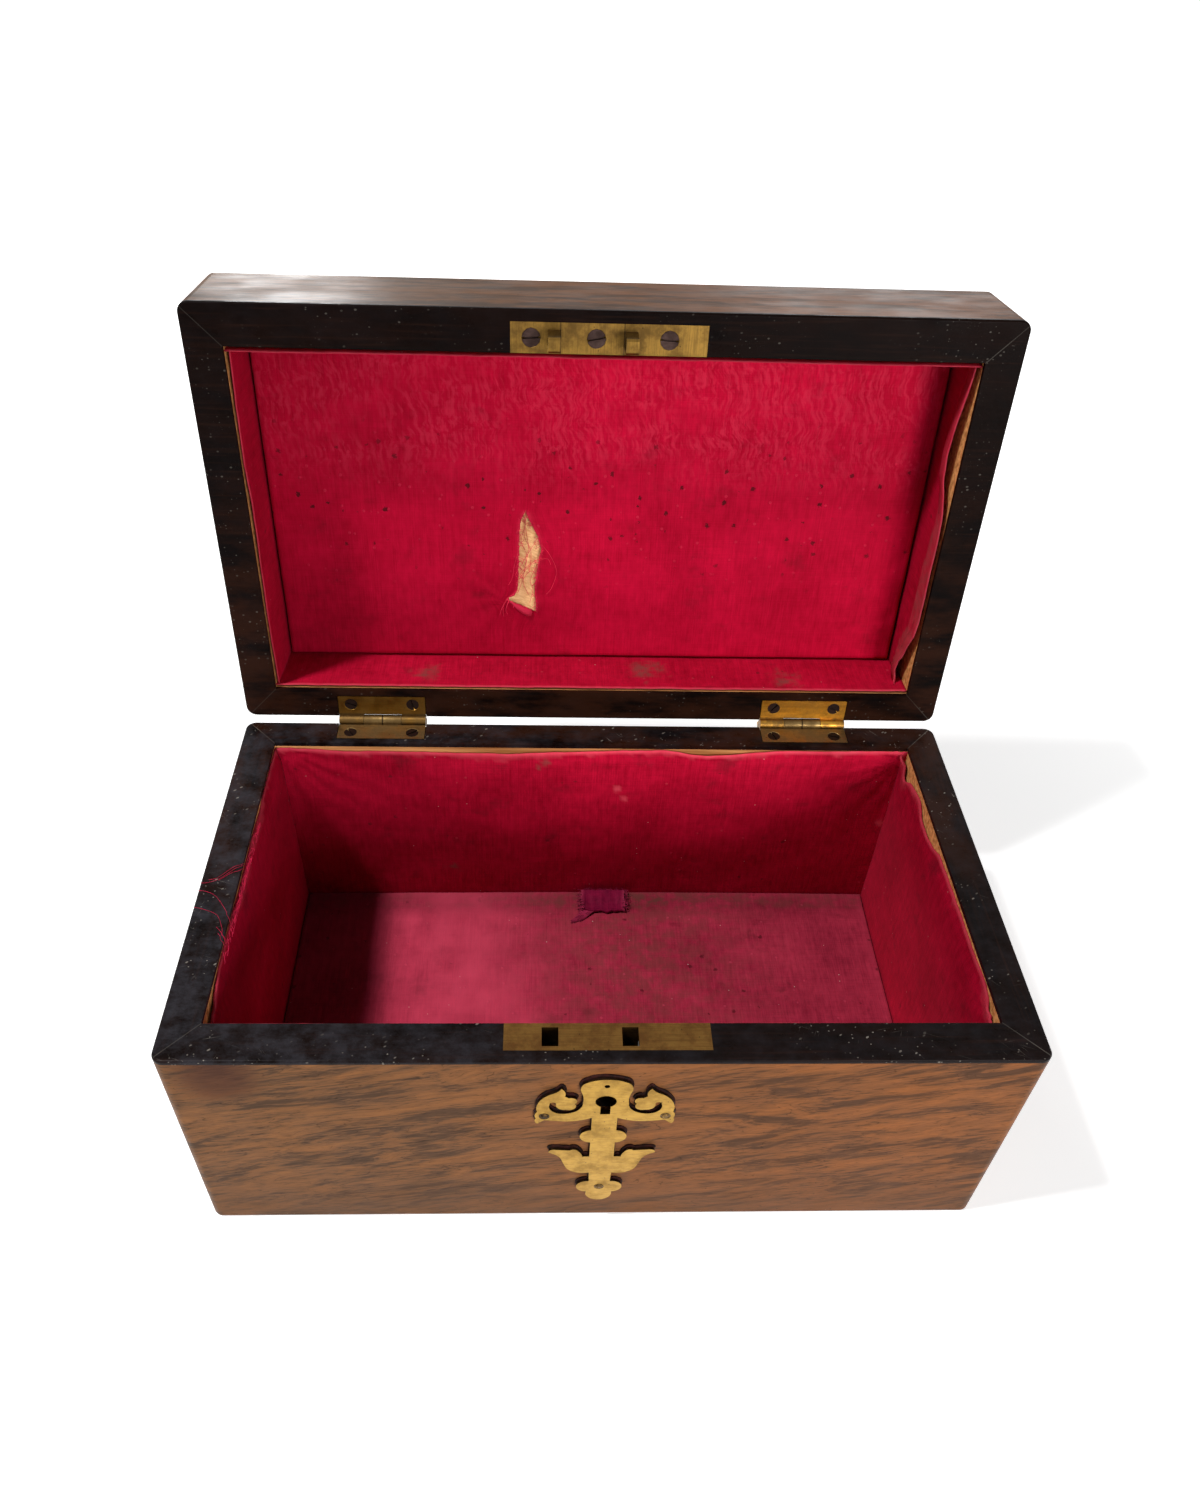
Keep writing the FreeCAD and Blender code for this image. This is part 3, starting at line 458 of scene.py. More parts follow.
def ebonised(name, turn, painted_sheen_amount, wear, lid=False, joint=0.28, shine=0.04):
    """Black polished wood with a painted bluish sheen that stands for a reflection, patches of duller polish,
    scratches, specks and the fine lines of the mitres.
    """
    finish = Finish(name, Specular_IOR_Level=shine)
    grain = finish.noise(finish.place((0.030, 0.0012), (0, 0, turn)), 3.0)
    colour = finish.blend(finish.grade(grain, 0.50, 0.78), RIM_BLACK, RIM_BROWN)
    thin_stain = finish.noise(finish.place((0.026, 0.009), (0, 0, turn), (0.3, 0.1, 0.2)), 4.0, 0.62)
    near_hinge = finish.grade(from_hinge(finish), 0.11, 0.02, 0.15, 1.0)
    colour = finish.blend(finish.times(finish.grade(thin_stain, 0.34, 0.62), near_hinge), colour, RIM_TAN)
    # A bluish-grey sheen is painted into the colour as a reflection, strongest on the left rims; the same
    # patches vary the roughness.
    sheen_patches = finish.noise(finish.place((0.009, 0.007)), 8.0, 0.72)
    left = finish.grade(finish.axis(finish.place(), 0), 0.06, -0.11, 0.25, 1.0)
    painted_sheen = finish.times(finish.grade(sheen_patches, 0.34, 0.78, 0, painted_sheen_amount), left)
    colour = finish.blend(painted_sheen, colour, RIM_PAINTED_SHEEN)
    dents = finish.spots(finish.place((0.0034, 0.0018), (0, 0, 35)), 0.20, 0.42)
    grit = finish.spots(finish.place((0.0016, 0.0012)), 0.19, 0.34)
    worn = finish.math("MAXIMUM", finish.math("MAXIMUM", scratches(finish), dents), grit)
    crowd = finish.grade(finish.noise(finish.place((0.030, 0.022)), 3.0), 0.42, 0.66)
    worn = finish.times(worn, crowd, wear)
    colour = finish.blend(worn, colour, RIM_PALE)
    mitre = finish.times(finish.grade(off_mitre(finish, lid), MITRE_HALF * 2, MITRE_HALF), joint)
    mitre = finish.times(mitre, finish.grade(crowd, 0.1, 0.9, 0.35, 1.0))
    colour = finish.blend(mitre, colour, RIM_PALE)
    return finish.finish(
        Base_Color=colour,
        Roughness=finish.grade(sheen_patches, 0.35, 0.70, 0.26, 0.50),
        Normal=finish.bump(finish.math("SUBTRACT", finish.times(grain, 0.3), worn), 0.25, 0.0002),
    )


dress(ebonised("ebonised_long", 0, 0.75, 0.58), "front_rim", "back_rim")
dress(ebonised("ebonised_side", 90, 0.85, 0.58), "left_rim", "right_rim")
dress(ebonised("ebonised_lid", 0, 0.06, 0.20, True, 0.14, 0.02), *("lid_" + side + "_rim" for side in SIDES))

CARCASE_DARK = (0.34, 0.135, 0.036)
CARCASE_LIGHT = (0.66, 0.325, 0.115)
CARCASE_KEYHOLE_SHADE = (0.004, 0.003, 0.002)
carcase = Finish("carcase_wood", Roughness=0.62, Specular_IOR_Level=0.2)
ring_lines = carcase.noise(carcase.place((0.060, 0.0016), (0, 0, 2)), 4.0)
bare_wood = carcase.ramp(ring_lines, [(0.35, CARCASE_DARK), (0.62, CARCASE_LIGHT)])
carcase_wood = carcase.finish(
    # The dark inside of the keyhole is painted as shade on the carcase too.
    Base_Color=carcase.blend(keyhole_shade(carcase, 9 * MM), bare_wood, CARCASE_KEYHOLE_SHADE),
    Normal=carcase.bump(ring_lines, 0.2, 0.0003),
)
dress(carcase_wood, "bottom_board", "lid_top_board", *(side + "_wall" for side in SIDES),
      *("lid_" + side + "_rail" for side in SIDES))
print("rims and carcase finished")

# %% [markdown]
# ## Brass and steel
# The escutcheon is rubbed bright on its face, and dark where polish has dried along its edges. The
# lock and link plates are brushed along their length, the hinges are browner, and the screws are
# blackened. A face that looks sideways, away from the front, is told by its normal.

# %% Brass and steel
BRASS_DARK = (0.022, 0.013, 0.007)
KNUCKLE = (0.085, 0.050, 0.018)
HINGE_RUB = (0.010, 0.0008)
LINK_SEAMS = [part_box("link_plate")[0].x + far * MM for far in (14.8, 33.6)]


def aged_metal(name, bright, dull, pitted, rub, roughness, edges=None, left=None, seams=(), knuckle=False):
    """A metal with rubbing marks along one axis, dull patches and, for a flat fitting, dark edges."""
    finish = Finish(name, Metallic=1.0)
    patches = finish.noise(finish.place((0.007,)), 6.0, 0.66)
    marks = finish.noise(finish.place(rub), 3.0)
    colour = finish.blend(finish.grade(patches, 0.36, 0.66), bright, dull)
    colour = finish.blend(finish.grade(marks, 0.40, 0.72, 0, 0.55), colour, dull)
    across = finish.axis(finish.place(), 0)
    if left is not None:
        colour = finish.blend(finish.grade(across, 0.02, -0.02, 0, 0.8), colour, left)
    for seam in seams:
        line = finish.grade(finish.apart(across, seam), 0.26 * MM, 0.10 * MM, 0, 0.75)
        colour = finish.blend(line, colour, BRASS_DARK)
    if knuckle:
        near = finish.grade(from_hinge(finish), 3.0 * MM, 2.4 * MM)
        grimy = finish.times(near, finish.grade(patches, 0.30, 0.62, 0.35, 0.9))
        colour = finish.blend(grimy, colour, KNUCKLE)
        for leaf in ("left_hinge_box_leaf", "right_hinge_box_leaf"):
            middle = sum(corner.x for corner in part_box(leaf)) / 2
            joint = finish.grade(finish.apart(across, middle), 0.30 * MM, 0.16 * MM)
            colour = finish.blend(finish.times(joint, near), colour, BRASS_DARK)
    pits = finish.spots(finish.place((0.0016,)), 0.16, pitted)
    colour = finish.blend(finish.times(pits, 0.8), colour, BRASS_DARK)
    scratch = finish.noise(finish.place((0.006, 0.00018), (20, 35, 60)), 1.0)
    colour = finish.blend(finish.grade(scratch, 0.74, 0.80, 0, 0.35), colour, BRASS_DARK)
    if edges is not None:
        normal = finish.add("ShaderNodeNewGeometry").outputs["Normal"]
        facing = finish.math("ABSOLUTE", finish.axis(normal, edges))
        colour = finish.blend(finish.grade(facing, 0.75, 0.35), colour, BRASS_DARK)
    return finish.finish(
        Base_Color=colour,
        Roughness=finish.grade(patches, 0.3, 0.7, roughness - 0.08, roughness + 0.14),
        Normal=finish.bump(finish.math("SUBTRACT", marks, pits), 0.12, 0.0002),
    )


screw_iron = aged_metal(
    "screw_iron", (0.046, 0.028, 0.024), (0.022, 0.013, 0.011), 0.25, (0.003, 0.0005), 0.44)
pin_brass = aged_metal("pin_brass", (0.17, 0.100, 0.032), (0.022, 0.013, 0.008), 0.55, (0.0010,), 0.46)
dress(aged_metal("escutcheon_brass", (0.45, 0.262, 0.040), (0.25, 0.138, 0.021), 0.16,
                 (0.004, 0.004, 0.0007), 0.42, edges=1), "escutcheon")
dress(aged_metal("lock_brass", (0.175, 0.092, 0.024), (0.085, 0.040, 0.012), 0.14, (0.014, 0.0004), 0.40),
      "lock_selvedge", "lock_plate", "lock_cap")
dress(aged_metal("link_brass", (0.175, 0.098, 0.021), (0.072, 0.040, 0.011), 0.16, (0.0004, 0.010), 0.38,
                 seams=LINK_SEAMS), "link_plate", "link_hooks")
dress(aged_metal("hinge_brass", (0.66, 0.315, 0.034), (0.28, 0.125, 0.020), 0.26, HINGE_RUB, 0.40,
                 left=(0.115, 0.062, 0.015), knuckle=True),
      "left_hinge_lid_leaf", "right_hinge_lid_leaf", "left_hinge_pin", "right_hinge_pin")
dress(aged_metal("box_hinge_brass", (0.330, 0.215, 0.082), (0.160, 0.104, 0.042), 0.26, HINGE_RUB, 0.42,
                 knuckle=True), "left_hinge_box_leaf", "right_hinge_box_leaf")
dress(aged_metal("lock_steel", (0.34, 0.33, 0.31), (0.22, 0.20, 0.18), 0.2, (0.012, 0.0005), 0.42),
      "lock_bolt", "lock_spring", "lock_drill_pin")
dress(screw_iron, "lock_screws")
print("metal finishes on the lock, hinges and escutcheon")

# %% [markdown]
# ## Crimson silk
# The lining is a thin plain-woven silk. Up close it shows slubs, which are thicker stretches of
# thread, along and across the cloth. It has stains, dust, dark moth holes, small raised knots that
# are painted paler as their highlight, a watered ripple near the lid's edge, and a pale pink wear
# where it is turned over a card. Five attributes that each cloth carries say where it is worn,
# soiled, moth-eaten or watered, and give its tone, which is painted light and shade: lighter where
# the lamps light the silk more, darker where shade falls. The rest lies on the cloth's own UV map,
# which is in metres.

# %% Crimson silk
SILK = (0.40, 0.0040, 0.027)
SILK_DEEP = (0.20, 0.0010, 0.010)
SILK_PINK = (0.46, 0.045, 0.070)
STAIN = (0.070, 0.006, 0.010)
SOIL = (0.150, 0.038, 0.034)
DUST = (0.60, 0.42, 0.38)
SHEEN = {"Sheen_Weight": 0.03, "Sheen_Roughness": 0.4, "Sheen_Tint": (0.9, 0.12, 0.2, 1)}


def silk(name, bright, deep, worn, moth_share, stain_amount, ripple=0.0, dust=0.0):
    """A woven silk that reads five marks from its cloth: worn, soil, moth, watered and tone, which is painted
    light and shade.
    """
    finish = Finish(name, Roughness=0.62, Specular_IOR_Level=0.03, **SHEEN)
    warp_thread = finish.noise(finish.on_cloth(0.00042, 0.020), 2.0)
    weft_thread = finish.noise(finish.on_cloth(0.016, 0.00040), 2.0)
    weave = finish.total((warp_thread, 0.62), (weft_thread, 0.38))
    cloud = finish.noise(finish.on_cloth(0.034, 0.026), 5.0, 0.6)
    slub = finish.noise(finish.on_cloth(0.0022, 0.0055, (0.2, 0.4)), 4.0, 0.62)
    tone = finish.total((weave, 0.36), (cloud, 0.38), (slub, 0.26))
    colour = finish.ramp(tone, [(0.38, deep), (0.60, bright)])
    if ripple:
        bent = finish.warp(finish.on_cloth(0.0013, 0.012, turn=-9), finish.on_cloth(0.022, 0.010), 6.0)
        band = finish.grade(finish.noise(bent, 3.0, 0.6), 0.42, 0.66)
        patch = finish.grade(finish.noise(finish.on_cloth(0.030, 0.018), 2.0), 0.28, 0.54)
        watered = finish.times(finish.attribute("watered"), patch, ripple)
        colour = finish.blend(finish.times(band, watered), colour, worn)
    stain = finish.noise(finish.on_cloth(0.016, 0.013, (0.7, 0.2)), 6.0, 0.66)
    colour = finish.blend(finish.grade(stain, 0.54, 0.74, 0, stain_amount), colour, STAIN)
    dirt = finish.grade(finish.noise(finish.on_cloth(0.007, 0.006, (0.1, 0.5)), 5.0, 0.66), 0.36, 0.62)
    colour = finish.blend(finish.times(dirt, finish.attribute("soil")), colour, SOIL)
    moth = finish.attribute("moth")
    ragged = finish.warp(finish.on_cloth(0.0048, 0.0048), finish.on_cloth(0.0007, 0.0007), 0.42)
    holes = finish.times(finish.spots(ragged, 0.17, moth_share, "2D"), moth)
    nubs_and_highlights = finish.spots(finish.on_cloth(0.0046, 0.0046, (0.5, 0.5)), 0.15, moth_share * 5)
    nubs_and_highlights = finish.times(nubs_and_highlights, moth)
    # Raised knots in the silk are painted paler here as their highlight; their relief is in the bump.
    colour = finish.blend(finish.times(nubs_and_highlights, 0.45), colour, worn)
    colour = finish.blend(finish.times(holes, 0.9), colour, STAIN)
    if dust:
        grit = finish.spots(finish.on_cloth(0.0036, 0.0036, (0.3, 0.9)), 0.070, 0.16)
        colour = finish.blend(finish.times(grit, dust), colour, DUST)
    colour = finish.blend(finish.attribute("worn"), colour, worn)
    # The tone attribute is painted light and shade, brightening or darkening the colour.
    colour = finish.blend(1.0, colour, finish.math("ADD", finish.attribute("tone"), 1.0), "MULTIPLY")
    relief = finish.math("ADD", finish.times(weave, 0.45), finish.math("SUBTRACT", nubs_and_highlights, holes))
    return finish.finish(Base_Color=colour, Normal=finish.bump(relief, 0.45, 0.0004))


lining_silk = silk("crimson_silk", SILK, SILK_DEEP, SILK_PINK, 0.025, 0.45, dust=0.5)
ceiling_silk_finish = silk(
    "watered_silk", (0.56, 0.0036, 0.036), (0.34, 0.0012, 0.017), (0.62, 0.026, 0.068), 0.20, 0.30,
    ripple=0.50)
floor_silk_finish = silk(
    "faded_silk", (0.42, 0.030, 0.066), (0.20, 0.010, 0.028), (0.58, 0.056, 0.108), 0.055, 0.55, dust=0.8)
ribbon_finish = silk(
    "ribbon_silk", (0.21, 0.006, 0.036), (0.070, 0.0012, 0.014), (0.36, 0.04, 0.085), 0.0, 0.2)
print("four silks")

# %% [markdown]
# ## Cloth as a grid
# Every lining is a grid of points: columns along the wall and rows up it. The last rows turn over
# the card's edge and down behind it, as the real silk does. Each point also carries the values that
# the silk's finish reads. One of them is the tone, from a small chart of painted light and shade:
# how much lighter each silk is painted where it is lit, and how much darker where shade falls. A
# Solidify modifier gives the cloth its thickness.

# %% Cloth as a grid
SILK_THICKNESS = 0.25 * MM
LID_SWING = (Matrix.Translation(axis_place) @ Matrix.Rotation(open_turn, 4, Vector((-1, 0, 0)))
             @ Matrix.Translation(-axis_place))
MARKS = ("worn", "soil", "moth", "watered", "tone")


def cloth(name, columns, points, uv, finish, body, marks, lid=False, slit=None):
    """A cloth from rows of so many points, with its UV map, its marks and its thickness."""
    if lid:
        points = [LID_SWING @ Vector(point) for point in points]
    starts = [first + c for first in range(0, len(points) - columns, columns)
              for c in range(columns - 1) if c != slit]
    mesh = bpy.data.meshes.new(name)
    mesh.from_pydata(points, [], [(s, s + 1, s + 1 + columns, s + columns) for s in starts])
    layer = mesh.uv_layers.new(name="cloth")
    for loop in mesh.loops:
        layer.data[loop.index].uv = uv[loop.vertex_index]
    for mark in MARKS:
        paint(mesh, mark, marks.get(mark, [0.0] * len(points)))
    shade_smooth(mesh)
    mesh.materials.append(finish)
    piece = put(name, mesh)
    thick = piece.modifiers.new("silk", "SOLIDIFY")
    thick.thickness = SILK_THICKNESS
    thick.offset = -1
    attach(piece, body)
    return piece


def between(table, place):
    """A value read from a table of places and values."""
    places, values = zip(*table)
    return float(np.interp(place, places, values))


def swell(x, y, size, seed):
    """A soft, repeatable unevenness between about -1 and 1."""
    return noise.fractal(Vector((x / size, y / size, seed)), 0.9, 2.0, 3)


def painted_light_share(name, across, up):
    """How much lighter or darker the silk is painted at a place, as a share, from a small chart of painted
    light and shade.
    """
    columns, rows, chart = PAINTED_LIGHT_CHART.get(name, ((0,), (0,), ((1.0,),)))
    levels = [np.interp(across, columns, line) for line in chart]
    return float(np.interp(up, rows, levels)) - 1


def step_up(value, low, high):
    """A smooth step from nought at one value to one at another."""
    share = max(0.0, min(1.0, (value - low) / (high - low)))
    return share * share * (3 - 2 * share)


# Painted light and shade: above one a silk is painted lighter where the lamps light it more, below one darker
# where shade falls, as in the left wall's shadow on the floor.
PAINTED_LIGHT_CHART = {
    "back": ((-113, -70, -30, 0, 60, 113), (25, 55, 85),
             ((0.95, 1.0, 1.05, 1.1, 1.1, 1.05), (0.95, 1.0, 1.25, 1.45, 1.45, 1.4),
              (0.95, 1.05, 1.4, 1.75, 1.7, 1.5))),
    "left": ((-57, 58), (45, 75), ((1.0, 1.0), (0.78, 0.78))),
    "right": ((-57, 0, 58), (20, 50, 80), ((1.4, 1.3, 1.1), (1.1, 1.05, 1.0), (0.9, 0.9, 0.9))),
    "lid_back": ((-113, 113), (92, 117), ((1.1, 1.1), (1.1, 1.1))),
    "ceiling": ((-112, -75, -30, 0, 40, 112), (-45, 0, 45),
                ((0.64, 0.74, 1.0, 1.17, 1.15, 1.0), (0.72, 0.84, 1.0, 1.10, 1.05, 0.92),
                 (0.52, 0.60, 0.76, 0.84, 0.92, 1.02))),
    "floor": ((-112, -79, -69, 20, 112), (-50, 44, 50, 57),
              ((0.55, 0.60, 1.0, 0.98, 0.90), (0.55, 0.60, 1.0, 0.95, 0.85),
               (0.5, 0.55, 0.7, 0.70, 0.70), (0.5, 0.55, 0.7, 0.70, 0.70))),
}
print("lid stands open by", round(math.degrees(open_turn)), "degrees")

# %% [markdown]
# ## The linings of the walls
# Eight cards covered with silk line the box and the lid. Along the rim the silk has shrunk and come
# away: each lining's free edge dips and leans in where the photograph shows bare wood behind it.
# Tables of measured heights give that edge, and a low noise gives the slack between.

# %% The linings of the walls
low_x, high_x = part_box("left_lining")[0].x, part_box("right_lining")[1].x
low_y, high_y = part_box("front_lining")[0].y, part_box("back_lining")[1].y
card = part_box("front_lining")[1].y - low_y
box_foot, box_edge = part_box("front_lining")[0].z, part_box("front_lining")[1].z
LID_FOOT = 116.9 * MM
LID_EDGE = 92.9 * MM
CELL = 1.3 * MM
TURN_OVER = 5.0 * MM
WALL_GAP = 0.15 * MM
SLACK_LIMIT = 0.30 * MM
FREE_FROM = (87, 89.4)
LINING_MOTH = 0.6
MOST_WORN = 0.9
TURNED_EDGE = [(1, 0.14, 0.16), (1, 0.12, 0.32), (1, -0.05, 0.44), (1, -0.8, 0.50),
               (1, -TURN_OVER / MM, 0.50)]

EDGE_DIPS = {
    "back": [(-113, 0.9), (-105, 0.9), (-90, 1.9), (-70, 1.9), (-50, 2.4), (-30, 2.4), (-10, 1.4),
             (10, 0.4), (25, 0.1), (30, 0.9), (35, 1.9), (40, 2.4), (50, 1.9), (60, 0.9), (65, 0.0),
             (113, 0.0)],
    "right": [(-57, 3.0), (-50, 2.4), (-44, 0.2), (-36, 0.9), (-30, 1.4), (-20, 1.1), (0, 1.4),
              (10, 1.9), (15, 3.9), (20, 4.9), (30, 4.9), (35, 1.9), (40, 2.4), (46, 3.4), (50, 6.5),
              (52.5, 6.5), (54.5, 1.4), (58, 0.8)],
    "left": [(-57, 3.5), (-50, 2.6), (-44, 0.6), (-30, 0.3), (-16, 0.3), (-8, 0.9), (2, 0.7), (12, 0.3),
             (22, 0.6), (28, 1.0), (34, 0.2), (58, 0.3)],
    "front": [(-113, 0.4), (-40, 0.9), (30, 0.5), (113, 0.6)],
    "lid_right": [(-57, 0.5), (-50, 0.1), (-45, 1.2), (-40, 2.1), (-30, 3.1), (-20, 3.1), (-15, 0.6),
                  (-10, -0.5), (0, -0.8), (18, -0.9), (36, -0.8), (40, 1.0), (45, 3.0), (50, 5.0),
                  (55, 5.5), (58, 4.0)],
    "lid_left": [(-57, 0.6), (-50, 0.5), (-30, 0.0), (-12, 0.3), (0, 0.6), (14, 0.3), (30, 0.0),
                 (58, 0.4)],
    "lid_back": [(-113, 0.0), (-40, 0.2), (0, -0.1), (60, 0.3), (113, 0.0)],
    "lid_front": [(-113, 0.2), (0, 0.4), (113, 0.2)],
}
EDGE_LEANS = {
    "back": [(-113, 0.1), (-60, 0.2), (-30, 0.4), (0, 0.2), (30, 0.4), (42, 0.8), (55, 0.3), (113, 0.1)],
    "right": [(-57, 0.9), (-48, 0.2), (-42, -0.35), (8, -0.30), (20, 0.2), (28, 0.4), (40, 0.2),
              (50, 1.2), (55, 2.4), (58, 1.8)],
    "left": [(-57, 1.2), (-50, 0.7), (-43, 0.2), (-38, -0.45), (58, -0.45)],
    "lid_right": [(-57, 0.5), (-40, 1.6), (-28, 2.2), (-16, 1.2), (-6, 0.4), (30, 0.4), (42, 1.6),
                  (52, 3.0), (58, 2.4)],
    "lid_left": [(-57, 0.1), (-40, -0.5), (0, -0.35), (40, -0.55), (58, -0.4)],
    "lid_back": [(-113, -0.4), (-40, -0.55), (0, -0.3), (60, -0.55), (113, -0.4)],
}
HEMS = {
    "back": [(-113, 0.7), (-55, 0.8), (-45, 2.2), (-20, 2.0), (-10, 0.8), (30, 1.0), (50, 1.0),
             (113, 0.5)],
    "right": [(-57, 3.6), (-46, 3.2), (-40, 0.6), (10, 0.6), (35, 1.2), (46, 1.6), (52, 4.5), (58, 4.5)],
    "left": [(-57, 0.8), (-18, 0.8), (-14, 3.0), (4, 3.0), (8, 0.9), (12, 2.4), (30, 2.4), (34, 0.8),
             (58, 0.8)],
    "lid_right": [(-57, 5), (-40, 7), (-28, 6.5), (-18, 4.5), (-8, 6), (10, 8), (38, 9), (46, 11),
                  (58, 8)],
}
PLAIN = [(-113, 0.3), (113, 0.3)]
SCUFFS = {"back": [("worn", 9, 71, 2.0), ("worn", 12, 66, 1.5), ("worn", 110.5, 54, 2.2),
                   ("soil", -53, 27, 3.5), ("soil", -17, 84, 2.0), ("soil", -20, 82, 1.5)],
          "lid_back": [("soil", -60, 102, 6), ("soil", 20, 106, 8), ("soil", 70, 99, 7)]}
WALLS = {
    "front": ((low_x, low_y), (1, 0), (0, 1)),
    "back": ((high_x, high_y), (-1, 0), (0, -1)),
    "left": ((low_x, high_y - card), (0, -1), (1, 0)),
    "right": ((high_x, low_y + card), (0, 1), (-1, 0)),
}
FANS = {"back": [(-113, 90, 30, 24), (113, 88, 14, 20)], "right": [(58, 86, 14, 20), (-57, 89, 14, 16)],
        "left": [(-57, 89, 14, 16)], "lid_right": [(58, 95, 16, 22)]}


def slackness(name, place, z, seed):
    """How far the silk stands off its card: low waves, and folds that fan out from pinched corners."""
    stand = 0.20 * MM * swell(place, z, 22, seed + 5) + 0.05 * MM * swell(place, z, 5, seed + 6)
    for corner, top, reach, count in FANS.get(name, ()):
        away = math.hypot(place - corner, z - top)
        angle = math.atan2(z - top, place - corner)
        fold = math.sin(angle * count + 2.0 * swell(place, z, 18, seed + 8))
        stand += 0.45 * MM * (fold - 0.6) * math.exp(-away / reach) * min(1.0, away / 4)
    return stand


def wall_marks(name, place, z, in_hem, below_edge, seed):
    """How worn and how soiled a lining is at a place."""
    fray = 0.55 + 0.45 * swell(place, z, 2.5, seed + 9)
    rubbed = 0.35 * in_hem * math.exp(-max(0.0, below_edge) / (0.7 * MM))
    mark = {"worn": in_hem * 0.5 * fray + rubbed, "soil": 0.0}
    # Towards its foot the right lining turns a paler pink.
    if name == "right":
        mark["worn"] += 0.13 * step_up(z, 86, 50)
    if name == "lid_right":
        mark["soil"] = 0.7 * in_hem * step_up(place, -12, 0)
    for kind, at, level, size in SCUFFS.get(name, ()):
        away = math.hypot(place - at, z - level) / size * (1 + 0.5 * swell(place, z, 1.5, seed + 12))
        mark[kind] += 0.8 * step_up(away, 1.0, 0.4)
    return {kind: max(0.0, min(MOST_WORN, amount)) for kind, amount in mark.items()}


def wall_lining(side, in_lid):
    """One covered card: a slack face, a hem, a thin edge and the silk that is turned over behind it."""
    name = ("lid_" if in_lid else "") + side
    (start_x, start_y), along, inward = WALLS[side]
    length = (high_x - low_x) if along[0] else (high_y - low_y - 2 * card)
    foot, edge = (LID_FOOT, LID_EDGE) if in_lid else (box_foot, box_edge)
    height = abs(edge - foot)
    rise = -1 if in_lid else 1
    columns, levels = round(length / CELL), round(height / CELL)
    dips, leans, hems = (table.get(name, PLAIN) for table in (EDGE_DIPS, EDGE_LEANS, HEMS))
    seed = 3.7 * len(name) + 1.3 * SIDES.index(side)
    points, uv = [], []
    marks = {"worn": [], "soil": [], "moth": [], "tone": []}
    for share, over, behind in [(step / levels, 0.0, 0.0) for step in range(levels + 1)] + TURNED_EDGE:
        for column in range(columns + 1):
            u = length * column / columns
            x, y = start_x + along[0] * u, start_y + along[1] * u
            place = (x if along[0] else y) / MM
            dip = between(dips, place) * MM + 0.22 * MM * swell(place, 0, 6, seed)
            top = height - dip
            v = top * share + over * MM
            z = (foot + rise * v) / MM
            hem = (between(hems, place) + 0.7 * swell(place, 0, 4, seed + 3)) * MM
            in_hem = step_up(v, top - hem - 0.5 * MM, top - hem)
            free = min(1.0, 8 * share) * (step_up(share, 0.2, 0.45) if in_lid else 1)
            stand = slackness(name, place, z, seed) * free
            lean = between(leans, place) * MM * share ** (3 if in_lid else 14)
            thin = 0.5 * card * step_up(share, 0.93, 1.0) * (0 if in_lid else 1)
            proud = lean + stand - thin + 0.18 * MM * in_hem
            if not in_lid:
                proud = min(proud, SLACK_LIMIT + 3 * MM * step_up(z, *FREE_FROM))
            depth = max(card + proud - behind * MM, WALL_GAP)
            points.append((x + inward[0] * depth, y + inward[1] * depth, foot + rise * v))
            uv.append((u, v - behind * MM))
            here = wall_marks(name, place, z, in_hem, top - v, seed)
            # The tone is painted light and shade.
            here.update(moth=LINING_MOTH, tone=painted_light_share(name, place, z))
            for mark, amount in here.items():
                marks[mark].append(amount)
    piece = cloth(name + "_silk", columns + 1, points, uv, lining_silk, "lid" if in_lid else "case",
                  marks, in_lid)
    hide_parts(name + "_lining")
    first = start_x if along[0] else start_y
    places = np.linspace(first, first + sum(along) * length, 40)
    mean_dip = float(np.mean([between(dips, place / MM) for place in places])) * MM
    flat = (length, height - mean_dip + TURN_OVER + 0.5 * MM)
    return piece, flat


for in_lid in (False, True):
    for side in SIDES:
        lined, flat = wall_lining(side, in_lid)
        print(lined.name, [round(v / MM) for v in flat], "mm flat")

# %% [markdown]
# ## The padded ceiling of the lid
# The lid's ceiling is a card with a thin layer of wadding, covered with the brightest silk. It
# crowns a little in the middle and rolls over at its edges. The silk has a long tear that shows the
# pale wadding. So the wadding is one piece, the silk is a second one with a real hole in it, and
# the silk's edge lifts round the hole.

# %% The padded ceiling of the lid
PAD_PLAY = 0.3 * MM
PAD_FACE = 112.3 * MM
PAD_CROWN = 1.2 * MM
PAD_ROLL = 1.7 * MM
PAD_BACK = 116.7 * MM
PAD_CELL = 0.95 * MM
pad_x = (high_x - card) - PAD_PLAY
pad_front, pad_back = low_y + card + PAD_PLAY, high_y - card - PAD_PLAY
TEAR_LINE = -24.6
TEAR_LEFT = [(-9, -24.6), (0.2, -25.0), (2, -26.2), (5, -27.0), (12, -27.3), (20, -27.4), (26, -27.6),
             (30, -28.0), (32, -29.0), (33.4, -31.8), (34.4, -30.5), (36, -26.4), (37.4, -23.6),
             (38.6, -21.5), (47, -24.6)]
TEAR_RIGHT = [(-9, -24.6), (0.2, -25.0), (2, -24.3), (5, -22.9), (9, -20.9), (14, -19.6), (17, -20.3),
              (20, -20.8), (26, -21.6), (31, -21.9), (35, -21.4), (38.6, -21.5), (47, -24.6)]
TEAR_ROWS = (0.2, 38.6)
FLAP_ROWS = (33.3, 38.0)
FLAP_STEPS = ((0.5, 1.7, -0.9), (1.0, 1.5, 0.1), (0.8, 1.2, 0.5))


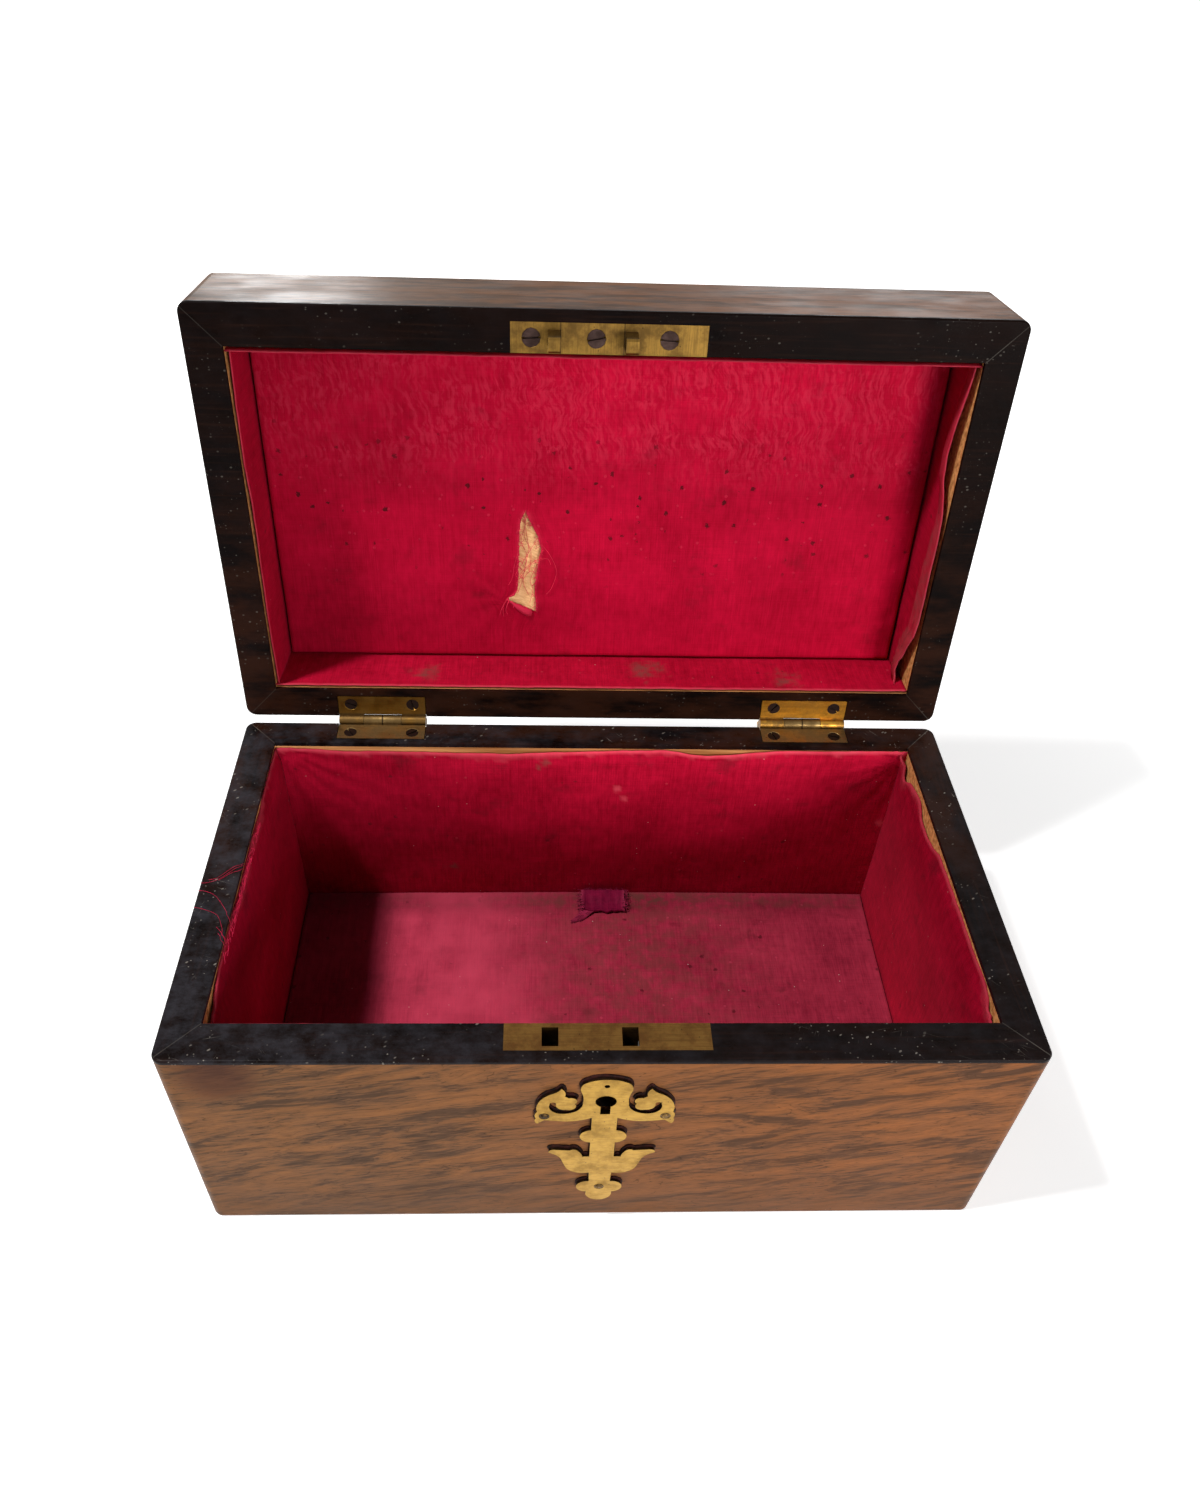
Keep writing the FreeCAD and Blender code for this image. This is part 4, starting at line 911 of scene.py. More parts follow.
def pad_height(x, y, roll):
    """The pad's face below the lid's board: a crown that falls and rolls over towards the edges."""
    mid_y = (pad_front + pad_back) / 2
    half_y = (pad_back - pad_front) / 2
    crown = (1 - (x / pad_x) ** 2) * (1 - ((y - mid_y) / half_y) ** 2)
    near = min(pad_x - abs(x), half_y - abs(y - mid_y))
    over = max(0.0, roll - near)
    return PAD_FACE + PAD_CROWN * (1 - crown) + roll - math.sqrt(max(roll ** 2 - over ** 2, 0))


def pad_slack(x, y):
    """Soft folds at the ends of the pad, a pull at the tear's foot and a low unevenness."""
    end = math.exp(-(pad_x - abs(x)) / (22 * MM))
    lower = max(0.0, min(1.0, (y + 0.02) / 0.05))
    folds = math.sin((y + 0.25 * x) / (3.4 * MM) + 2.5 * swell(x, y, 0.03, 4)) * end * lower
    pull_x, pull_y = x + 32 * MM, y - 34 * MM
    pull = math.exp(-(pull_x ** 2 + pull_y ** 2) / (2 * (11 * MM) ** 2))
    crease = math.sin(math.atan2(pull_y, pull_x) * 9) * pull * min(1.0, math.hypot(pull_x, pull_y) / (3 * MM))
    waves = 0.28 * swell(x, y, 0.035, 11) + 0.06 * swell(x, y, 0.005, 17)
    return -MM * (0.20 * folds + 0.20 * crease + waves)


def torn_silk():
    """The ceiling silk: a grid with one column ripped and drawn apart to the tear's two edges."""
    columns = round(2 * pad_x / PAD_CELL)
    rows = round((pad_back - pad_front) / PAD_CELL)
    xs = np.linspace(-pad_x, pad_x, columns + 1)
    ys = np.linspace(pad_front, pad_back, rows + 1)
    slit = int(np.argmin(abs(xs - TEAR_LINE * MM)))
    sides = [(c, -1) for c in range(slit + 1)] + [(c, 1) for c in range(slit, columns + 1)]
    points, uv = [], []
    marks = {"worn": [], "moth": [], "watered": [], "tone": []}
    for y in ys:
        torn = TEAR_ROWS[0] < y / MM < TEAR_ROWS[1]
        ragged = 0.28 if torn else 0.0
        edge = {-1: between(TEAR_LEFT, y / MM) + ragged * swell(y, 0, 0.0016, 41),
                1: between(TEAR_RIGHT, y / MM) + ragged * swell(y, 0, 0.0016, 47)}
        for column, side in sides:
            away = abs(xs[column] - xs[slit])
            x = xs[column] + (edge[side] * MM - xs[slit]) * math.exp(-away / (9 * MM))
            lift = math.exp(-away / (1.5 * MM)) if torn else 0.0
            z = pad_height(x, y, PAD_ROLL) + pad_slack(x, y)
            z -= 0.7 * MM * lift * (0.7 + 0.6 * swell(x, y, 0.004, 2))
            if column in (0, columns) or y in (ys[0], ys[-1]):
                z = PAD_BACK - 0.2 * MM
            points.append((x, y, z))
            uv.append((xs[column] + pad_x, y - pad_front))
            marks["worn"].append(0.75 * lift ** 2)
            marks["moth"].append(max(0.0, 1 - ((y + 2 * MM) / (34 * MM)) ** 2))
            marks["watered"].append(step_up(-y, 2 * MM, 24 * MM))
            # The tone is painted light and shade.
            marks["tone"].append(painted_light_share("ceiling", x / MM, y / MM))
    piece = cloth("ceiling_silk", len(sides), points, uv, ceiling_silk_finish, "lid", marks,
                  True, slit)
    hang_flap(piece.data, ys / MM, len(sides), slit)
    return piece


def hang_flap(mesh, ys, width, slit):
    """Lets a torn flap hang from the tear's foot, and joins the slit again above and below the tear."""
    edit = bmesh.new()
    edit.from_mesh(mesh)
    edit.verts.ensure_lookup_table()
    foot = [r * width + slit for r, y in enumerate(ys) if FLAP_ROWS[0] < y < FLAP_ROWS[1]]
    hanging = [edit.edges.get((edit.verts[a], edit.verts[b])) for a, b in zip(foot, foot[1:])]
    seam = [edit.verts[r * width + slit + k] for r, y in enumerate(ys) for k in (0, 1)
            if not TEAR_ROWS[0] < y < TEAR_ROWS[1]]
    swing = LID_SWING.to_3x3()
    for move in FLAP_STEPS:
        grown = bmesh.ops.extrude_edge_only(edit, edges=hanging)["geom"]
        fresh = sorted(of_kind(bmesh.types.BMVert, grown), key=lambda v: v.co.x)
        for index, vert in enumerate(fresh):
            full = 0.25 + 0.75 * math.sin(math.pi * index / (len(fresh) - 1))
            vert.co += swing @ Vector(move) * MM * full
        hanging = of_kind(bmesh.types.BMEdge, grown)
    bmesh.ops.remove_doubles(edit, verts=seam, dist=1e-6)
    edit.to_mesh(mesh)
    edit.free()


ceiling_silk = torn_silk()
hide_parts("lid_ceiling_panel")

# %% [markdown]
# The wadding under the silk is a crowned, closed pad. Its face lies just under the silk, so it
# fills the tear. Its finish is a pale, slightly soiled fleece of short fibres.

# %% Wadding
WADDING_UNDER = 0.8 * MM
WADDING_INSET = 1.1 * MM
FLEECE_DEEP, FLEECE_PALE, FLEECE_SOILED = (0.74, 0.38, 0.155), (0.96, 0.60, 0.29), (0.42, 0.17, 0.06)
fleece = Finish("pale_wadding", Roughness=0.95, Specular_IOR_Level=0.1)
fibre = fleece.warp(fleece.place((0.004, 0.0006), (0, 30, 15)), fleece.place((0.004,)), 3.0)
fibre = fleece.noise(fibre, 4.0)
soil = fleece.noise(fleece.place((0.010,)), 4.0)
fleece_colour = fleece.ramp(fibre, [(0.35, FLEECE_DEEP), (0.62, FLEECE_PALE)])
pale_wadding = fleece.finish(
    Base_Color=fleece.blend(fleece.grade(soil, 0.5, 0.8, 0, 0.5), fleece_colour, FLEECE_SOILED),
    Normal=fleece.bump(fibre, 0.4, 0.0004),
)


def closed_pad(name, xs, ys, face, back):
    """A closed pad from a face that is a height over the plan and a flat back."""
    edit = bmesh.new()
    top = [[edit.verts.new(face(x, y)) for x in xs] for y in ys]
    base = [[edit.verts.new(back(x, y)) for x in xs] for y in ys]
    last_r, last_c = len(ys) - 1, len(xs) - 1
    for r in range(last_r):
        for c in range(last_c):
            edit.faces.new((top[r][c], top[r][c + 1], top[r + 1][c + 1], top[r + 1][c]))
            edit.faces.new((base[r][c], base[r + 1][c], base[r + 1][c + 1], base[r][c + 1]))
    border = [(0, c) for c in range(last_c)] + [(r, last_c) for r in range(last_r)]
    border += [(last_r, c) for c in range(last_c, 0, -1)] + [(r, 0) for r in range(last_r, 0, -1)]
    for (r, c), (nr, nc) in zip(border, border[1:] + border[:1]):
        edit.faces.new((top[r][c], base[r][c], base[nr][nc], top[nr][nc]))
    bmesh.ops.recalc_face_normals(edit, faces=edit.faces)
    mesh = bpy.data.meshes.new(name)
    edit.to_mesh(mesh)
    edit.free()
    shade_smooth(mesh)
    return put(name, mesh)


def wadding_face(x, y):
    z = pad_height(x, y, PAD_ROLL) + WADDING_UNDER + pad_slack(x, y)
    return LID_SWING @ Vector((x, y, min(z, PAD_BACK - 0.3 * MM)))


wadding = closed_pad(
    "ceiling_wadding", np.linspace(-pad_x + WADDING_INSET, pad_x - WADDING_INSET, 91),
    np.linspace(pad_front + WADDING_INSET, pad_back - WADDING_INSET, 47),
    wadding_face, lambda x, y: LID_SWING @ Vector((x, y, PAD_BACK)))
wadding.data.materials.append(pale_wadding)
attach(wadding, "lid")
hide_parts("lid_ceiling_panel")
print("wadding", len(wadding.data.polygons), "faces")

# %% [markdown]
# ## The loose floor
# The floor is a card wrapped in silk that has faded to a dusty wine red. It lies loose on the bottom
# board and bows up a little at the back, where the ribbon is pulled. The silk is one closed sheet:
# a face, four rolled edges and an underside.

# %% The loose floor
floor_low, floor_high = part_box("floor_panel")
FLOOR_CELL = 1.8 * MM
FLOOR_ROLL = 1.1 * MM
FLOOR_MARGIN = 1.6 * MM
FLOOR_MOTH = 0.8
BOW = 1.6 * MM
BACK_STRIP = 50.0 * MM


def floor_face(x, y):
    """The height of the floor's silk: bowed up and grooved at the back, and rolled over its edges."""
    half_x = (floor_high.x - floor_low.x) / 2
    back_share = max(0.0, (y - floor_low.y) / (floor_high.y - floor_low.y))
    bow = BOW * back_share ** 6 * max(0.0, 1 - ((x - 20 * MM) / (1.2 * half_x)) ** 2)
    near = min(half_x - abs(x), y - floor_low.y, floor_high.y - y)
    over = max(0.0, FLOOR_ROLL - near)
    rolled = FLOOR_ROLL - math.sqrt(max(FLOOR_ROLL ** 2 - over ** 2, 0))
    groove = 0.22 * MM * math.exp(-((y - BACK_STRIP) / (0.9 * MM)) ** 2)
    return floor_high.z + bow - rolled - groove + 0.16 * MM * swell(x, y, 0.03, 21) - 0.15 * MM


def with_edges(low, high):
    """Places across a cover, close together where it rolls over its edges."""
    count = round((high - low) / FLOOR_CELL)
    edge = np.array([0, 0.25, 0.7]) * MM
    middle = np.linspace(low + FLOOR_MARGIN, high - FLOOR_MARGIN, count)
    return np.concatenate((low + edge, middle, (high - edge)[::-1]))


floor_silk = closed_pad(
    "floor_silk", with_edges(floor_low.x, floor_high.x), with_edges(floor_low.y, floor_high.y),
    lambda x, y: (x, y, floor_face(x, y)), lambda x, y: (x, y, floor_low.z))
layer = floor_silk.data.uv_layers.new(name="cloth")
for loop in floor_silk.data.loops:
    place = floor_silk.data.vertices[loop.vertex_index].co
    layer.data[loop.index].uv = (place.x, place.y + place.z)


def floor_marks(place):
    """How worn, soiled and moth-eaten the floor's silk is at a place, and its tone, which is painted light
    and shade.
    """
    x, y = place.x / MM, place.y / MM
    edge = min(place.x - floor_low.x, floor_high.x - place.x, place.y - floor_low.y, floor_high.y - place.y)
    # A paler pink band runs from front to back, left of the middle.
    pink = 0.75 * math.exp(-((x + 47 + 0.15 * y) / 30) ** 2) * (0.75 + 0.5 * swell(x, y, 12, 61))
    pink += 0.4 * math.exp(-max(0.0, edge / MM) / 1.2)
    brown = 0.55 * math.exp(-((x - 18) / 42) ** 2) * step_up(y, -60, 20) + 0.5 * step_up(y, 48.5, 51)
    return max(0.0, min(MOST_WORN, pink)), max(0.0, brown), FLOOR_MOTH, painted_light_share("floor", x, y)


painted = [floor_marks(vert.co) for vert in floor_silk.data.vertices]
for mark, values in zip(("worn", "soil", "moth", "tone"), zip(*painted)):
    paint(floor_silk.data, mark, values)
floor_silk.data.materials.append(floor_silk_finish)
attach(floor_silk, "floor")
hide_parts("floor_panel")

# %% [markdown]
# ## The ribbon pull
# A short ribbon is looped and glued at the back of the floor, to lift it by. It is squashed flat,
# its right end shows the open, frayed fold, and a torn corner hangs off its front.

# %% The ribbon pull
tab_low, tab_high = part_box("pull_tab")
RIBBON_STEP = 0.5 * MM
RIBBON_ROWS = 72
RIBBON_INSET = 0.4 * MM
ribbon_width = tab_high.x - tab_low.x - 2 * RIBBON_INSET


def ribbon_line(share):
    """The loop seen from its end: under, round the front, over the top and down at the back."""
    y0, y1 = tab_low.y, tab_high.y
    z0, z1 = 0.0, tab_high.z - tab_low.z - 1.3 * MM
    sag = (0.9 * math.sin(math.pi * share) + 0.5 * swell(share, 0, 0.3, 77)) * MM
    front = 0.9 * MM * swell(share, 0, 0.25, 78)
    return [
        (y1 - 0.5 * MM, z0 + 0.45 * MM), (y1 - 3.5 * MM, z0 + 0.40 * MM), (y0 + 4 * MM, z0 + 0.45 * MM),
        (y0 + 1.4 * MM + front, z0 + 0.5 * MM), (y0 + 0.4 * MM + front, z0 + 1.2 * MM),
        (y0 + 0.7 * MM + front, z0 + 2.1 * MM), (y0 + 2.2 * MM + front * 0.5, z1 - 1.1 * MM - sag * 0.5),
        (y0 + 5 * MM, z1 - 0.4 * MM - sag), (y1 - 4 * MM, z1 - sag * 0.6),
        (y1 - 1.4 * MM, z1 - 0.1 * MM), (y1 - 0.4 * MM, z1 - 1.0 * MM), (y1 - 0.3 * MM, z0 + 1.2 * MM),
    ]


def ribbon_pull():
    """The loop's cloth, and its mean length from one glued end to the other."""
    columns = round((tab_high.x - tab_low.x) / RIBBON_STEP)
    lines = []
    for column in range(columns + 1):
        knots = np.array(ribbon_line(column / columns))
        steps = np.concatenate(([0], np.cumsum(np.hypot(*np.diff(knots, axis=0).T))))
        lines.append((knots, steps))
    points, uv, worn = [], [], []
    for row in range(RIBBON_ROWS + 1):
        for column, (knots, steps) in enumerate(lines):
            share = column / columns
            far = steps[-1] * row / RIBBON_ROWS
            y, z = np.interp(far, steps, knots[:, 0]), np.interp(far, steps, knots[:, 1])
            end = max(0.0, abs(share - 0.5) - 0.40) / 0.10
            fray = 0.8 * MM * swell(far, 0, 0.0016, 31 + (share > 0.5)) * end
            x = tab_low.x + RIBBON_INSET + ribbon_width * share + fray
            pucker = 0.30 * MM * swell(x, far, 0.0045, 8)
            under = floor_face(x, min(y, floor_high.y - FLOOR_MARGIN))
            points.append((x, y, under + max(0.3 * MM, z + pucker)))
            uv.append((x, far))
            worn.append(0.55 * end ** 2)
    piece = cloth("ribbon_pull", columns + 1, points, uv, ribbon_finish, "floor", {"worn": worn})
    soft = piece.modifiers.new("soft_folds", "SUBSURF")
    soft.levels = soft.render_levels = 1
    return piece, float(np.mean([steps[-1] for _, steps in lines]))


ribbon, ribbon_length = ribbon_pull()
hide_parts("pull_tab")
print("ribbon", round(ribbon_length / MM, 1), "mm long")

# %% [markdown]
# ## Loose threads
# Threads have pulled out of the silk across the tear, along the left rim and at the ribbon's ends.
# Each is a line of a few points. A Geometry Nodes tree turns all lines of one body into thin tubes:
# it reads the lines as curves, smooths them by resampling a spline, and sweeps a small circle along
# them.

# %% Loose threads
def node_tree(name, inputs):
    """A bench for a Geometry Nodes tree with a geometry input, named inputs and a geometry output."""
    tree = bpy.data.node_groups.new(name, "GeometryNodeTree")
    tree.interface.new_socket("Geometry", in_out="INPUT", socket_type="NodeSocketGeometry")
    for label, kind in inputs:
        tree.interface.new_socket(label, in_out="INPUT", socket_type=kind)
    tree.interface.new_socket("Geometry", in_out="OUTPUT", socket_type="NodeSocketGeometry")
    bench = Bench(tree)
    return bench, bench.add("NodeGroupInput").outputs


def baked(piece, tree, values):
    """Runs a tree on a piece and leaves its result as a plain mesh."""
    modifier = piece.modifiers.new(tree.name, "NODES")
    modifier.node_group = tree
    for item in tree.interface.items_tree:
        if item.in_out == "INPUT" and item.name in values:
            modifier[item.identifier] = values[item.name]
    bpy.context.view_layer.update()
    evaluated = piece.evaluated_get(bpy.context.evaluated_depsgraph_get())
    mesh = bpy.data.meshes.new_from_object(evaluated)
    piece.modifiers.remove(modifier)
    piece.data = mesh


def coated(bench, geometry, finish):
    """Ends a tree: all copies made real, with their finish."""
    real = bench.add("GeometryNodeRealizeInstances", {0: geometry}).outputs[0]
    coat = bench.add("GeometryNodeSetMaterial", {"Geometry": real, "Material": finish}).outputs[0]
    bench.add("NodeGroupOutput", {0: coat})
    return bench.tree


tubes, given = node_tree("thread_tubes", [
    ("Thickness", "NodeSocketFloat"), ("Spacing", "NodeSocketFloat"), ("Finish", "NodeSocketMaterial")])
curve = tubes.add("GeometryNodeMeshToCurve", {0: given["Geometry"]}).outputs[0]
spline = tubes.add("GeometryNodeCurveSplineType", {0: curve}, spline_type="CATMULL_ROM").outputs[0]
spaced = tubes.add("GeometryNodeResampleCurve", {0: spline, "Length": given["Spacing"]}, mode="LENGTH")
circle = tubes.add("GeometryNodeCurvePrimitiveCircle", {"Resolution": 5, "Radius": given["Thickness"]})
sweep = tubes.add("GeometryNodeCurveToMesh", {
    "Curve": spaced.outputs[0], "Profile Curve": circle.outputs[0], "Fill Caps": True})
thread_tree = coated(tubes, sweep.outputs[0], given["Finish"])
THREAD_SPACING = 0.6 * MM


def thread_finish(name, colour):
    finish = Finish(name, Roughness=0.7, Specular_IOR_Level=0.03)
    tint = finish.noise(finish.place((0.003,)), 2.0)
    deep = tuple(c * 0.55 for c in colour)
    return finish.finish(Base_Color=finish.ramp(tint, [(0.35, deep), (0.65, colour)]))


red_thread = thread_finish("red_thread", (0.60, 0.022, 0.070))
tear_thread = thread_finish("tear_thread", (0.86, 0.035, 0.090))
ribbon_thread = thread_finish("ribbon_thread", (0.30, 0.020, 0.062))


def threads(name, lines, body, thickness, cloth_name, finish=red_thread):
    """Tubes along lines of points, which ride the body that their cloth is on."""
    points, edges = [], []
    for line in lines:
        first = len(points)
        points += line
        edges += [(first + k, first + k + 1) for k in range(len(line) - 1)]
    mesh = bpy.data.meshes.new(name)
    mesh.from_pydata(points, edges, [])
    piece = put(name, mesh)
    baked(piece, thread_tree, {"Thickness": thickness, "Spacing": THREAD_SPACING, "Finish": finish})
    shade_smooth(piece.data)
    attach(piece, body)
    print(name, len(lines), "threads of", cloth_name)


def lid_point(x, y, below):
    """A point in front of the ceiling silk, in the closed lid's millimetres."""
    x, y = x * MM, y * MM
    return LID_SWING @ Vector((x, y, pad_height(x, y, PAD_ROLL) + pad_slack(x, y) - below * MM))


TEAR_THREADS = [
    [(-25.6, 2, 0.4), (-24.8, 8, 0.1), (-24.0, 14, 0.0), (-25.2, 20, 0.2)],
    [(-24.6, 1, 0.4), (-25.5, 9, 0.0), (-23.2, 15, 0.0), (-23.8, 23, 0.3)],
    [(-21.0, 10, 0.5), (-22.6, 13, 0.1), (-24.9, 17, 0.1), (-27.2, 21, 0.6)],
    [(-20.2, 19, 0.6), (-22.4, 19.5, 0.2), (-25.0, 22, 0.2), (-27.6, 26, 0.6)],
    [(-20.6, 24, 0.5), (-23, 22.5, 0.1), (-25.5, 25, 0.2), (-27.9, 31, 0.6)],
    [(-18.4, 17, 0.9), (-21, 18, 0.4), (-24.4, 20.5, 0.3), (-26.8, 23.4, 0.5)],
    [(-19.6, 12, 0.5), (-16.5, 16, 0.8), (-14.2, 22, 0.9), (-15.8, 28.6, 0.8), (-17.8, 31.5, 0.5)],
    [(-20.0, 18, 0.5), (-17.4, 17.2, 0.9), (-16.2, 19.5, 1.0)],
    [(-27.6, 15, 0.5), (-29.0, 20, 0.7), (-29.8, 25, 0.7), (-31.2, 28, 0.5)],
    [(-28.4, 31, 0.5), (-31.5, 33, 0.7), (-33.4, 36.5, 0.8), (-34.4, 40, 0.6)],
    [(-31.4, 33.4, 0.5), (-33.2, 36.6, 0.8), (-33.0, 40.6, 0.6)],
    [(-31.0, 33.8, 0.5), (-32.2, 37.6, 0.9), (-31.6, 39.6, 0.6)],
    [(-25.2, 0, 0.5), (-25.2, 5, 0.2), (-26.6, 11, 0.2), (-24.6, 17, 0.1), (-26.0, 26, 0.2),
     (-24.0, 32, 0.3)],
    [(-22.0, 22, 0.5), (-23.4, 26, 0.2), (-22.6, 30, 0.2), (-23.6, 35, 0.5)],
]
draw = random.Random(12).uniform
for edge_table, out in ((TEAR_LEFT, 1), (TEAR_RIGHT, -1)):
    for _ in range(64):
        y = draw(1.0, 37.8)
        x = between(edge_table, y)
        reach = out * draw(-1.2, 1.9)
        TEAR_THREADS.append([
            (x - out * 0.5, y, 0.75), (x + reach * 0.4, y + draw(-0.6, 0.9), 0.65),
            (x + reach, y + draw(-0.8, 2.2), draw(0.1, 0.8))])
threads("tear_threads", [[lid_point(*p) for p in line] for line in TEAR_THREADS],
        "lid", 0.08 * MM, "ceiling_silk", tear_thread)

# %% [markdown]
# The left lining has frayed along the rim. A few long threads have worked loose and lie out over
# the black wood, and many short ones stand along the worn edge.

# %% Frayed edge of the left lining
rim_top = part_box("left_rim")[1].z / MM
RIM_THREADS = [
    [(-115.6, -0.6, 0.12), (-119.5, -4.8, 0.14), (-123, -6.4, 0.12), (-125, -6.5, 0.16)],
    [(-116, 0.2, 0.16), (-120, -4.2, 0.12), (-122.6, -5.2, 0.16)],
    [(-116.4, -2.4, 0.12), (-119.6, -5.4, 0.16)],
    [(-115, -17.4, 0.14), (-119, -12, 0.16), (-122.4, -10, 0.12), (-125, -9.6, 0.14)],
    [(-114.6, -24.6, 0.12), (-117, -19.6, 0.12), (-121, -17.4, 0.14), (-124.6, -16.4, 0.14)],
    [(-114.6, -26, 0.14), (-116.4, -24, 0.12)],
    [(-114.5, -27.6, 0.14), (-115.4, -26.5, 0.14)],
]
RIM_ROOTS = (1.6, 2.4, 0.2, -22, -29.5, -28.6, -30.6)
for line, root in zip(RIM_THREADS, RIM_ROOTS):
    run = 0.6 * (line[0][1] - root)
    line[:0] = [(-112.5, root, -1.3), (-112.95, root + 0.2 * run, -0.3),
                (-113.3, root + 0.5 * run, 0.07), (-114.2, root + run, 0.11)]
chance = random.Random(5)
draw = chance.uniform
for _ in range(110):
    y = chance.choice((draw(-36, 30), draw(-20, 6)))
    far = draw(0.8, 3.4)
    RIM_THREADS.append([
        (-111.9, y, -2.6), (-111.9 + draw(-0.2, 0.4), y + far * 0.4, -2.0 + draw(0, 0.8)),
        (-112.2 + draw(-0.5, 0.5), y + far * chance.choice((-1, 1)), -1.6 + draw(-0.6, 1.4))])
threads("rim_threads", [[Vector((x, y, rim_top + z)) * MM for x, y, z in line] for line in RIM_THREADS],
        "case", 0.06 * MM, "left_silk")

# %% [markdown]
# The ribbon's two cut ends have unravelled, and a torn corner trails over the floor in front.

# %% Frayed ends of the ribbon
RIBBON_FRAY = []
STRANDS = 90
tab_front, tab_back = tab_low.y / MM, tab_high.y / MM


def floor_level(x, y):
    """The height of the floor's silk at a place, all in millimetres."""
    return floor_face(x * MM, min(y * MM, floor_high.y - FLOOR_MARGIN)) / MM


chance = random.Random(9)
draw = chance.uniform
for side, x in ((-1, tab_low.x / MM + 0.6), (1, tab_high.x / MM - 0.6)):
    for _ in range(60):
        y = draw(tab_front + 1.0, tab_back - 0.8)
        z = floor_level(x, y) + chance.choice((0.5, 2.2, 2.6))
        far = side * draw(0.6, 2.2)
        RIBBON_FRAY.append([
            (x - side * 0.8, y, z), (x + far * 0.5, y + draw(-0.4, 0.4), z + 0.1),
            (x + far, y + draw(-1.2, 1.0), z - draw(-0.5, 0.6))])
for _ in range(30):
    x = draw(tab_low.x, tab_high.x) / MM
    y = tab_back - 0.6
    z = floor_level(x, floor_high.y / MM) + 2.4
    RIBBON_FRAY.append([
        (x, y - 1.0, z), (x + draw(-0.5, 0.5), y - 0.2, z + draw(0.1, 0.7)),
        (x + draw(-1.4, 1.4), y + draw(-0.6, 0.2), z + draw(0.3, 1.3))])
for strand in range(STRANDS):
    spread = strand / (STRANDS - 1)
    x, y = -2.4 + 5.2 * spread, tab_front + 0.9 - 0.2 * spread
    tip_x = -6.6 + 3.6 * spread ** 1.5 + draw(-0.5, 0.5)
    tip_y = 41.6 + 0.9 * spread + draw(-0.4, 0.7)
    mid_x, mid_y = (x + tip_x) / 2, (y + tip_y) / 2
    root = floor_level(x, y) + 1.3
    RIBBON_FRAY.append([
        (x, y + 1.2, root), (x - 0.5, y, root),
        (mid_x, mid_y, floor_level(mid_x, mid_y) + 0.75 + draw(0, 0.25)),
        (tip_x, tip_y, floor_level(tip_x, tip_y) + 0.25 + draw(0, 0.3))])
threads("ribbon_fray", [[Vector(p) * MM for p in line] for line in RIBBON_FRAY],
        "floor", 0.085 * MM, "ribbon_pull", ribbon_thread)
print("threads", len(TEAR_THREADS) + len(RIM_THREADS) + len(RIBBON_FRAY))

# %% [markdown]
# ## Screw heads and pins
# The hinges and the link plate have blackened slotted screws. Their head is modelled once: a disc cut
# by two planes, its middle strip sunk for the slot, and a tapered wall below. The escutcheon has
# hammered pins, whose head is a low dome in a ring. A Geometry Nodes tree then sets a copy on each
# point, faces it the way the point says, turns it and scales it.

# %% Screw heads and pins
SLOT_HALF = 0.10
SLOT_DEEP = 0.26
PIN_RINGS = ((1.0, -0.30), (0.98, 0.02), (0.80, -0.02), (0.66, -0.10), (0.50, 0.10), (0.28, 0.16))
PIN_SIDES = 28


def screw_head():
    """A slotted head of unit radius that faces up, with a dulled edge."""
    edit = bmesh.new()
    bmesh.ops.create_circle(edit, cap_ends=True, segments=40, radius=0.94)
    for place in (-SLOT_HALF, SLOT_HALF):
        geometry = edit.verts[:] + edit.edges[:] + edit.faces[:]
        bmesh.ops.bisect_plane(edit, geom=geometry, plane_co=(place, 0, 0), plane_no=(1, 0, 0))
    slot = [face for face in edit.faces if abs(face.calc_center_median().x) < SLOT_HALF]
    rim = [edge for edge in edit.edges if edge.is_boundary]
    for radius, height in ((1.0, -0.07), (0.60, -0.62)):
        grown = bmesh.ops.extrude_edge_only(edit, edges=rim)["geom"]
        for vert in of_kind(bmesh.types.BMVert, grown):
            scale = radius / math.hypot(vert.co.x, vert.co.y)
            vert.co = Vector((vert.co.x * scale, vert.co.y * scale, height))
        rim = of_kind(bmesh.types.BMEdge, grown)
    bmesh.ops.holes_fill(edit, edges=rim)
    sunk = bmesh.ops.extrude_face_region(edit, geom=slot)["geom"]
    for vert in of_kind(bmesh.types.BMVert, sunk):
        vert.co.z -= SLOT_DEEP
    bmesh.ops.delete(edit, geom=slot, context="FACES_ONLY")
    bmesh.ops.recalc_face_normals(edit, faces=edit.faces)
    return model_head("screw_head", edit)


def pin_head():
    """A hammered pin's head of unit radius: a low, uneven dome inside a sunk ring."""
    edit = bmesh.new()
    rings = []
    for radius, height in PIN_RINGS:
        ring = []
        for step in range(PIN_SIDES):
            angle = 2 * math.pi * step / PIN_SIDES
            x, y = radius * math.cos(angle), radius * math.sin(angle)
            rough = 0.13 * swell(x, y, 0.35, 3) * (0 if radius > 0.9 else 1)
            ring.append(edit.verts.new((x, y, height + rough)))
        rings.append(ring)
    for low, high in zip(rings, rings[1:]):
        for k in range(PIN_SIDES):
            following = (k + 1) % PIN_SIDES
            edit.faces.new((low[k], low[following], high[following], high[k]))
    edit.faces.new(rings[-1])
    edit.faces.new(rings[0][::-1])
    bmesh.ops.recalc_face_normals(edit, faces=edit.faces)
    return model_head("pin_head", edit)


def model_head(name, edit):
    mesh = bpy.data.meshes.new(name)
    edit.to_mesh(mesh)
    edit.free()
    return put(name, mesh)


